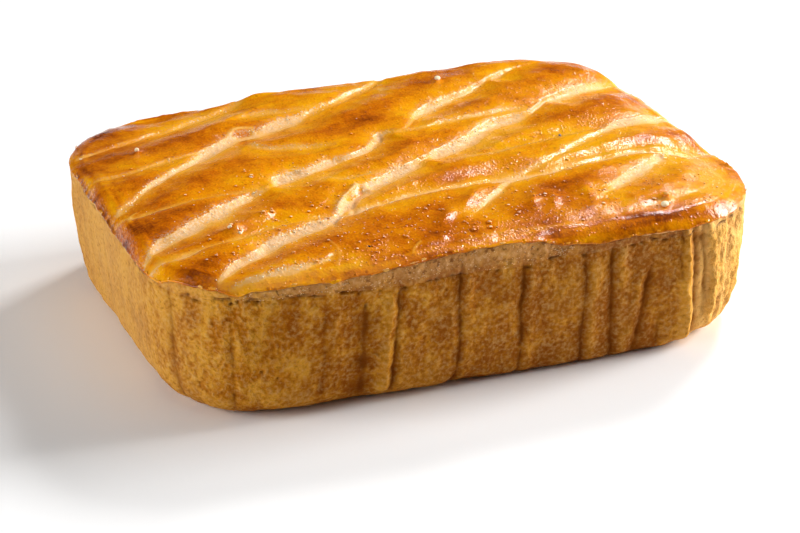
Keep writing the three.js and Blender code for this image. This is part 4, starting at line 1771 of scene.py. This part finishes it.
@dataclass(frozen=True)
class Finish:
    """What every finish shares: how its material is started, coloured and closed."""

    name: str

    def start(self) -> tuple[bpy.types.Material, bpy.types.NodeTree]:
        """Makes an empty material.

        Returns:
            The material and its node tree.
        """
        material = bpy.data.materials.new(self.name)
        material.use_nodes = True
        material.node_tree.nodes.clear()
        return material, material.node_tree

    def fill(self, ramp: bpy.types.Node, stops: tuple[tuple[float, str], ...]) -> Socket:
        """Sets a colour ramp's stops.

        Args:
            ramp: The colour ramp's node.
            stops: Place and colour of each stop, in order.

        Returns:
            The ramp's colour.
        """
        elements = ramp.color_ramp.elements
        while len(elements) < len(stops):
            elements.new(0.5)
        for element, (place, colour) in zip(elements, stops):
            element.position = place
            element.color = linear(colour)
        return ramp.outputs["Color"]

    def close(self, tree: bpy.types.NodeTree, inputs: dict[str | int, object]) -> None:
        """Adds the shader, with what goes into it, and the output."""
        shader = add(tree, "BsdfPrincipled", inputs)
        add(tree, "OutputMaterial", {"Surface": shader.outputs[0]})


@dataclass(frozen=True)
class Pastry(Finish):
    """What all baked pastry shares: the look of its bare crust, and the means to colour it."""

    toasted: str = "#985000"
    golden: str = "#b87010"
    light: str = "#d6962e"
    fair_and_lit: str = "#e8b264"
    speckle: str = "#deb26c"
    # fold is the crust's dark flecks and grit, and also painted shade in folds and tears; hole is
    # painted shade in pits and the crack.
    fold: str = "#723800"
    hole: str = "#4e2a0c"

    # Fields that the bare crust reads.
    CRUST_FIELDS = ("raised", "fold", "pit", "fair_and_lit", "toast")
    # Size of each pattern's lumps in millimetres, and how many finer octaves it has. The oven
    # browns the side in patches of about 6 mm, which are taller than they are wide, and melted
    # fat mottles it about every 2 mm. Its real grain, about 0.3 mm, is too fine to show, so it is
    # drawn three times as coarse.
    PATCHES = {"patch": (6, 3)}
    CRUST_GRAINS = {"mottle": (1.7, 5), "fine": (0.95, 3)}
    PATCH_SHAPE = (1.0, 1.0, 0.55)

    def read(
        self,
        tree: bpy.types.NodeTree,
        place: Socket,
        fields: tuple[str, ...],
        grains: dict[str, tuple[float, int]],
    ) -> dict[str, Socket]:
        """Adds what the tints read.

        Args:
            tree: The material's node tree.
            place: Object coordinates.
            fields: Names of the piece's own fields.
            grains: Lump size in millimetres and finer octaves of each noise pattern.

        Returns:
            One socket for each name.
        """
        found = {n: add(tree, "Attribute", attribute_name=n).outputs["Fac"] for n in fields}
        for name, (size, detail) in grains.items():
            inputs = {"Vector": place, "Scale": 1 / (size * MM), "Detail": detail}
            found[name] = add(tree, "TexNoise", inputs).outputs["Fac"]
        return found

    def blend(
        self, tree: bpy.types.NodeTree, found: dict[str, Socket], rest: float, **shares: float
    ) -> Socket:
        """Adds up patterns and fields.

        Args:
            tree: The material's node tree.
            found: The sockets that read() gives.
            rest: A number to start from.
            **shares: How much of each named socket is added.

        Returns:
            The sum.
        """
        total = rest
        for name, share in shares.items():
            inputs = {0: found[name], 1: share, 2: total}
            total = add(tree, "Math", inputs, operation="MULTIPLY_ADD").outputs[0]
        return total

    def tint(
        self, tree: bpy.types.NodeTree, found: dict[str, Socket], colour: Socket, *tints: Tint
    ) -> Socket:
        """Lays tints over a colour.

        Args:
            tree: The material's node tree.
            found: The sockets that read() gives.
            colour: The colour below them.
            *tints: The tints, from the lowest to the topmost.

        Returns:
            The new colour.
        """
        for tint in tints:
            ends = {0: found[tint.source], 1: tint.low, 2: tint.high, 3: tint.least, 4: tint.most}
            share = add(tree, "MapRange", ends).outputs[0]
            if tint.within:
                both = {0: share, 1: found[tint.within]}
                share = add(tree, "Math", both, operation="MULTIPLY").outputs[0]
            layers = {0: share, 6: colour, 7: linear(tint.colour)}
            colour = add(tree, "Mix", layers, data_type="RGBA").outputs[2]
        return colour

    def crust(self, tree: bpy.types.NodeTree, place: Socket) -> tuple[Socket, Socket]:
        """Adds the look of bare crust: patches and a fine weave of flecks, with painted shade in folds,
        holes and hollows and painted light on raised parts.

        Args:
            tree: The material's node tree.
            place: Object coordinates.

        Returns:
            Its colour, and its height for a bump.
        """
        found = self.read(tree, place, self.CRUST_FIELDS, self.CRUST_GRAINS)
        tall = add(tree, "Mapping", {"Vector": place, "Scale": self.PATCH_SHAPE}).outputs[0]
        found |= self.read(tree, tall, (), self.PATCHES)
        # The toast field darkens the colour: oven browning, and painted shade on the near side.
        browned = self.blend(tree, found, 0.05, mottle=0.45, patch=0.55, toast=-0.11)
        colour = self.fill(
            add(tree, "ValToRGB", {0: browned}),
            ((0.38, self.toasted), (0.49, self.golden), (0.6, self.light)),
        )
        colour = self.tint(
            tree,
            found,
            colour,
            # Paler crust and painted light, most at the right near corner.
            Tint("fair_and_lit", 0.0, 1.6, 0.95, self.fair_and_lit),
            # Painted light on raised parts.
            Tint("raised", 0.52, 0.85, 0.5, self.light),
            Tint("fine", 0.46, 0.74, 0.5, self.speckle),
            Tint("fine", 0.42, 0.3, 0.4, self.fold),
            # Painted shade in low parts.
            Tint("raised", 0.42, 0.1, 0.6, self.toasted),
            # Painted shade in the pleats' creases and valleys.
            Tint("fold", 0.05, 0.85, 0.85, self.fold),
            # Painted shade in the pits and in the crack along the joint.
            Tint("pit", 0.0, 1.0, 1.0, self.hole),
        )
        return colour, self.blend(tree, found, 0.0, mottle=1.0, fine=1.0)


@dataclass(frozen=True)
class GlazedPastry(Pastry):
    """Shortcrust pastry under baked egg wash: a clear amber film, pale crumb in the scores."""

    name: str = "egg_washed_shortcrust"
    gold: str = "#f8a906"
    amber: str = "#ea8c02"
    russet: str = "#c86600"
    brown: str = "#823600"
    butter: str = "#f8b23e"
    cream: str = "#e8b478"
    torn_white: str = "#f0cca0"
    # Painted glint on the blister tops, and the white of pale crumbs.
    glint_and_crumb_cream: str = "#ffeec8"
    raw: str = "#d89c56"
    caramel: str = "#5e280a"
    freckle: str = "#a04800"
    raw_share: float = 0.48
    film_roughness: float = 0.13
    crumb_roughness: float = 0.85
    freckle_gap: float = 1.9
    bubble_gap: float = 1.2
    bump_height: float = 0.35
    scatter: float = 1.0

    # Fields that the glaze and the scores read.
    GLAZE_FIELDS = ("pale", "bake", "torn", "dark", "band", "raw", "caramel", "glint_and_crumb_white")
    # Lump size in millimetres and finer octaves. Egg wash pools in patches of about 7 mm and
    # browns unevenly every 2 mm or so. Torn crumb, about 0.2 mm, and the grit of the bare band,
    # about 0.4 mm, are too fine to show, so both are drawn three times as coarse. So are the
    # bubbles inside the film, which are about 0.4 mm apart.
    GLAZE_GRAINS = {"patch": (7, 4), "mottle": (2.2, 5), "fine": (0.6, 3), "grit": (1.3, 3)}

    def glaze(self, tree: bpy.types.NodeTree, place: Socket, found: dict[str, Socket]) -> Socket:
        """Adds the colour of the glaze, with darker freckles where it pooled.

        Args:
            tree: The material's node tree.
            place: Object coordinates.
            found: What read() gives for the glaze, to which the freckles' sources are added.

        Returns:
            Its colour.
        """
        browned = self.blend(tree, found, -0.9, patch=0.7, mottle=0.55, fine=0.55, bake=1.0)
        colour = self.fill(
            add(tree, "ValToRGB", {0: browned}),
            ((0.08, self.gold), (0.36, self.amber), (0.66, self.russet), (0.98, self.brown)),
        )
        cells = {"Vector": place, "Scale": 1 / (self.freckle_gap * MM)}
        found["freckles"] = add(tree, "TexVoronoi", cells).outputs["Distance"]
        pooled = {0: found["patch"], 1: 0.46, 2: 0.6, 4: 0.6}
        found["pooled"] = add(tree, "MapRange", pooled).outputs[0]
        freckles = Tint("freckles", 0.3, 0.14, 1.0, self.freckle, within="pooled")
        return self.tint(tree, found, colour, freckles)

    def build(self) -> bpy.types.Material:
        """Makes the material.

        Returns:
            The material, which reads the lid's own fields and Object coordinates.
        """
        material, tree = self.start()
        place = add(tree, "TexCoord").outputs["Object"]
        found = self.read(tree, place, self.GLAZE_FIELDS, self.GLAZE_GRAINS)
        found["worn"] = self.blend(tree, found, -0.25, mottle=0.5, pale=1.0)
        found["creamy"] = add(tree, "MapRange", {0: found["worn"], 1: 0.45, 2: 0.95}).outputs[0]
        found["rawness"] = add(tree, "MapRange", {0: found["raw"], 4: self.raw_share}).outputs[0]

        colour = self.tint(
            tree,
            found,
            self.glaze(tree, place, found),
            Tint("worn", 0.12, 0.55, 1.0, self.butter),
            Tint("creamy", 0.0, 1.0, 1.0, self.cream),
            Tint("fine", 0.44, 0.6, 1.0, self.torn_white, within="torn"),
        )
        crust, crust_height = self.crust(tree, place)
        crust = self.tint(
            tree,
            found,
            crust,
            Tint("rawness", 0.0, 1.0, 1.0, self.raw),
            Tint("grit", 0.54, 0.68, 1.2, self.cream, within="rawness"),
            Tint("grit", 0.43, 0.35, 1.5, self.fold, within="rawness"),
        )
        layers = {0: found["band"], 6: colour, 7: crust}
        colour = self.tint(
            tree,
            found,
            add(tree, "Mix", layers, data_type="RGBA").outputs[2],
            Tint("mottle", 0.4, 0.6, 1.0, self.caramel, least=0.2, within="caramel"),
            # Painted shade in the hollows of the tears.
            Tint("dark", 0.0, 1.0, 1.0, self.fold),
            # Painted glints on the blister tops, and the white of crumbs.
            Tint("glint_and_crumb_white", 0.0, 1.0, 1.0, self.glint_and_crumb_cream),
        )

        bare = found["creamy"]
        for field in ("band", "glint_and_crumb_white"):
            bare = add(tree, "Math", {0: bare, 1: found[field]}, operation="MAXIMUM").outputs[0]
        dulled = {0: bare, 3: self.film_roughness, 4: self.crumb_roughness}
        found["dulled"] = add(tree, "MapRange", dulled).outputs[0]

        cells = {"Vector": place, "Scale": 1 / (self.bubble_gap * MM)}
        bubbles = add(tree, "TexVoronoi", cells).outputs["Distance"]
        domed = {0: bubbles, 1: 0.35, 2: 0.0, 4: 0.35}
        found["bubbles"] = add(tree, "MapRange", domed).outputs[0]
        found["crumbs"] = crust_height
        film = self.blend(tree, found, 0.0, bubbles=1.0, mottle=0.45, fine=0.42)
        crumbs = self.blend(tree, found, 0.0, crumbs=0.75)
        relief = add(tree, "Mix", {0: bare, 2: film, 3: crumbs}).outputs[0]
        raised = {"Height": relief, "Strength": 0.85, "Distance": self.bump_height * MM}
        self.close(
            tree,
            {
                "Base Color": colour,
                "Roughness": self.blend(tree, found, -0.06, mottle=0.12, dulled=1.0),
                "Normal": add(tree, "Bump", raised).outputs[0],
                "IOR": 1.37,
                "Subsurface Weight": 0.06,
                "Subsurface Radius": (1.0, 0.4, 0.12),
                "Subsurface Scale": self.scatter * MM,
            },
        )
        return material


@dataclass(frozen=True)
class HotWaterCrust(Pastry):
    """Hot-water crust baked against the tray: dull, porous and mottled gold and brown."""

    name: str = "hot_water_crust"
    roughness: float = 0.8
    bump_height: float = 0.6

    def build(self) -> bpy.types.Material:
        """Makes the material.

        Returns:
            The material, which reads the case's own fields and Object coordinates.
        """
        material, tree = self.start()
        place = add(tree, "TexCoord").outputs["Object"]
        colour, height = self.crust(tree, place)
        raised = {"Height": height, "Strength": 1.0, "Distance": self.bump_height * MM}
        normal = add(tree, "Bump", raised).outputs[0]
        inputs = {"Base Color": colour, "Roughness": self.roughness, "Normal": normal, "IOR": 1.15}
        self.close(tree, inputs)
        return material


@dataclass(frozen=True)
class BurntSpeck(Finish):
    """Bits charred in the oven: black to ash grey, dull."""

    name: str = "charred_pastry"
    black: str = "#1c1410"
    brown: str = "#7a3a10"
    grey: str = "#8c8078"

    def build(self) -> bpy.types.Material:
        """Makes the material.

        Returns:
            The material, which reads the specks' own lightness.
        """
        material, tree = self.start()
        lightness = add(tree, "Attribute", attribute_name="lightness").outputs["Fac"]
        stops = ((0.0, self.black), (0.45, self.brown), (1.0, self.grey))
        colour = self.fill(add(tree, "ValToRGB", {0: lightness}), stops)
        self.close(tree, {"Base Color": colour, "Roughness": 0.7, "IOR": 1.4})
        return material


@dataclass(frozen=True)
class PaleFloor(Finish):
    """Matt white board, which gives an even ground and throws light back at the walls."""

    name: str = "matt_white_board"
    white: str = "#ffffff"

    def build(self) -> bpy.types.Material:
        """Makes the material.

        Returns:
            The material.
        """
        material, tree = self.start()
        inputs = {"Base Color": linear(self.white), "Roughness": 0.9, "Specular IOR Level": 0.2}
        self.close(tree, inputs)
        return material


# ---- The studio ----


@dataclass(frozen=True)
class SoftBox:
    """A soft light that hangs at a bearing and height and faces the pie."""

    name: str
    bearing: float
    elevation: float
    distance: float
    size: float
    power: float

    def hang(self) -> None:
        """Adds the light to the scene."""
        light = bpy.data.lights.new(self.name, "AREA")
        light.shape = "SQUARE"
        light.size = self.size
        light.energy = self.power
        turn, up = math.radians(self.bearing), math.radians(self.elevation)
        way = Vector((math.sin(turn) * math.cos(up), math.cos(turn) * math.cos(up), math.sin(up)))
        lamp = bpy.data.objects.new(self.name, light)
        lamp.location = way * self.distance
        lamp.rotation_euler = way.to_track_quat("Z", "Y").to_euler()
        bpy.context.scene.collection.objects.link(lamp)


class Place(Enum):
    """Where each soft light hangs.

    Its bearing is clockwise from the far side and its elevation above the ground, in degrees.
    Its distance and size are in metres, and its power in watts.
    """

    KEY = SoftBox("key_softbox", 92, 24, 1.0, 0.35, 10)
    SIDE = SoftBox("side_softbox", 97, 6, 1.0, 0.4, 10.5)
    WINDOW = SoftBox("window_softbox", 51, 41, 1.1, 0.2, 5.8)
    TOP = SoftBox("top_softbox", 180, 82, 1.2, 1.0, 2.0)
    LEFT = SoftBox("left_softbox", -92, 22, 1.0, 0.6, 6.4)


@dataclass(frozen=True)
class Studio:
    """Floor, light and camera: lens and sensor in millimetres, angles in degrees, all else metres."""

    sensor: float = 36.0
    lens: float = 112.295
    bearing: float = -21.844
    elevation: float = 24.978
    roll: float = 0.3405
    distance: float = 0.659475
    aim: tuple[float, float, float] = (-0.00082, 0.0, 0.007515)
    floor_size: float = 6.0
    sky: str = "#ffffff"
    sky_strength: float = 0.03

    def camera(self) -> None:
        """Adds the camera, a long lens a little above the near left corner."""
        data = bpy.data.cameras.new("camera")
        data.lens = self.lens
        data.sensor_width = self.sensor
        turn, up, roll = (math.radians(a) for a in (self.bearing, self.elevation, self.roll))
        back = Vector((math.sin(turn) * math.cos(up), -math.cos(turn) * math.cos(up), math.sin(up)))
        side = Vector((0, 0, 1)).cross(back).normalized()
        above = back.cross(side)
        right = side * math.cos(roll) + above * math.sin(roll)
        above = above * math.cos(roll) - side * math.sin(roll)
        place = Vector(self.aim) + back * self.distance
        axes = Matrix((right, above, back)).transposed().to_4x4()
        camera = bpy.data.objects.new("camera", data)
        camera.matrix_world = Matrix.Translation(place) @ axes
        bpy.context.scene.collection.objects.link(camera)
        bpy.context.scene.camera = camera

    def floor(self) -> None:
        """Adds the floor that the pie stands on."""
        board = bmesh.new()
        bmesh.ops.create_grid(board, x_segments=1, y_segments=1, size=self.floor_size / 2)
        piece = finished("floor", board, smooth=False)
        piece.data.materials.append(PaleFloor().build())

    def light(self) -> None:
        """Adds the soft lights and a faint even sky."""
        for place in Place:
            place.value.hang()
        scene = bpy.context.scene
        scene.world = bpy.data.worlds.new("studio_sky")
        scene.world.use_nodes = True
        background = scene.world.node_tree.nodes["Background"]
        background.inputs["Color"].default_value = linear(self.sky)
        background.inputs["Strength"].default_value = self.sky_strength
        scene.view_settings.view_transform = "Standard"


# ---- The whole ----


def mount(piece: bpy.types.Object, finish: bpy.types.Material, slot: str, *nodes: str) -> None:
    """Dresses a piece and joins it to the frame.

    Args:
        piece: The new piece.
        finish: Its material.
        slot: Not used.
        *nodes: CAD nodes that the piece stands for.
    """
    piece.data.materials.append(finish)
    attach(piece, BODY)
    if nodes:
        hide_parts(*nodes)
    LOG.info("%s: %d faces", piece.name, len(piece.data.polygons))


def main() -> None:
    """Builds the pie and its studio."""
    logging.basicConfig(level=logging.INFO, format="%(message)s")
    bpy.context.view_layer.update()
    studio = Studio()
    studio.camera()
    studio.floor()
    studio.light()

    low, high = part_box("pastry_case")
    size = (high - low) / MM
    outline = Outline(size.x, size.y)
    noise = Noise(NOISE_SEED)
    skin = Skin(outline, noise, size.z)
    lid = Lid(outline, noise, skin)
    mount(Case(outline, skin).build(), HotWaterCrust().build(), "case_crust", "pastry_case")
    glaze = GlazedPastry().build()
    blisters = Blisters(lid)
    beads = blisters.beads()
    mount(lid.build(beads), glaze, "lid_crust", "pastry_lid")
    mount(blisters.build(beads), glaze, "lid_crust")
    mount(Crumbs(lid).build(), glaze, "lid_crust")
    mount(Flakes(lid).build(), glaze, "lid_crust")
    mount(Specks(lid).build(), BurntSpeck().build(), "lid_crust")


if __name__ == "__main__":
    main()
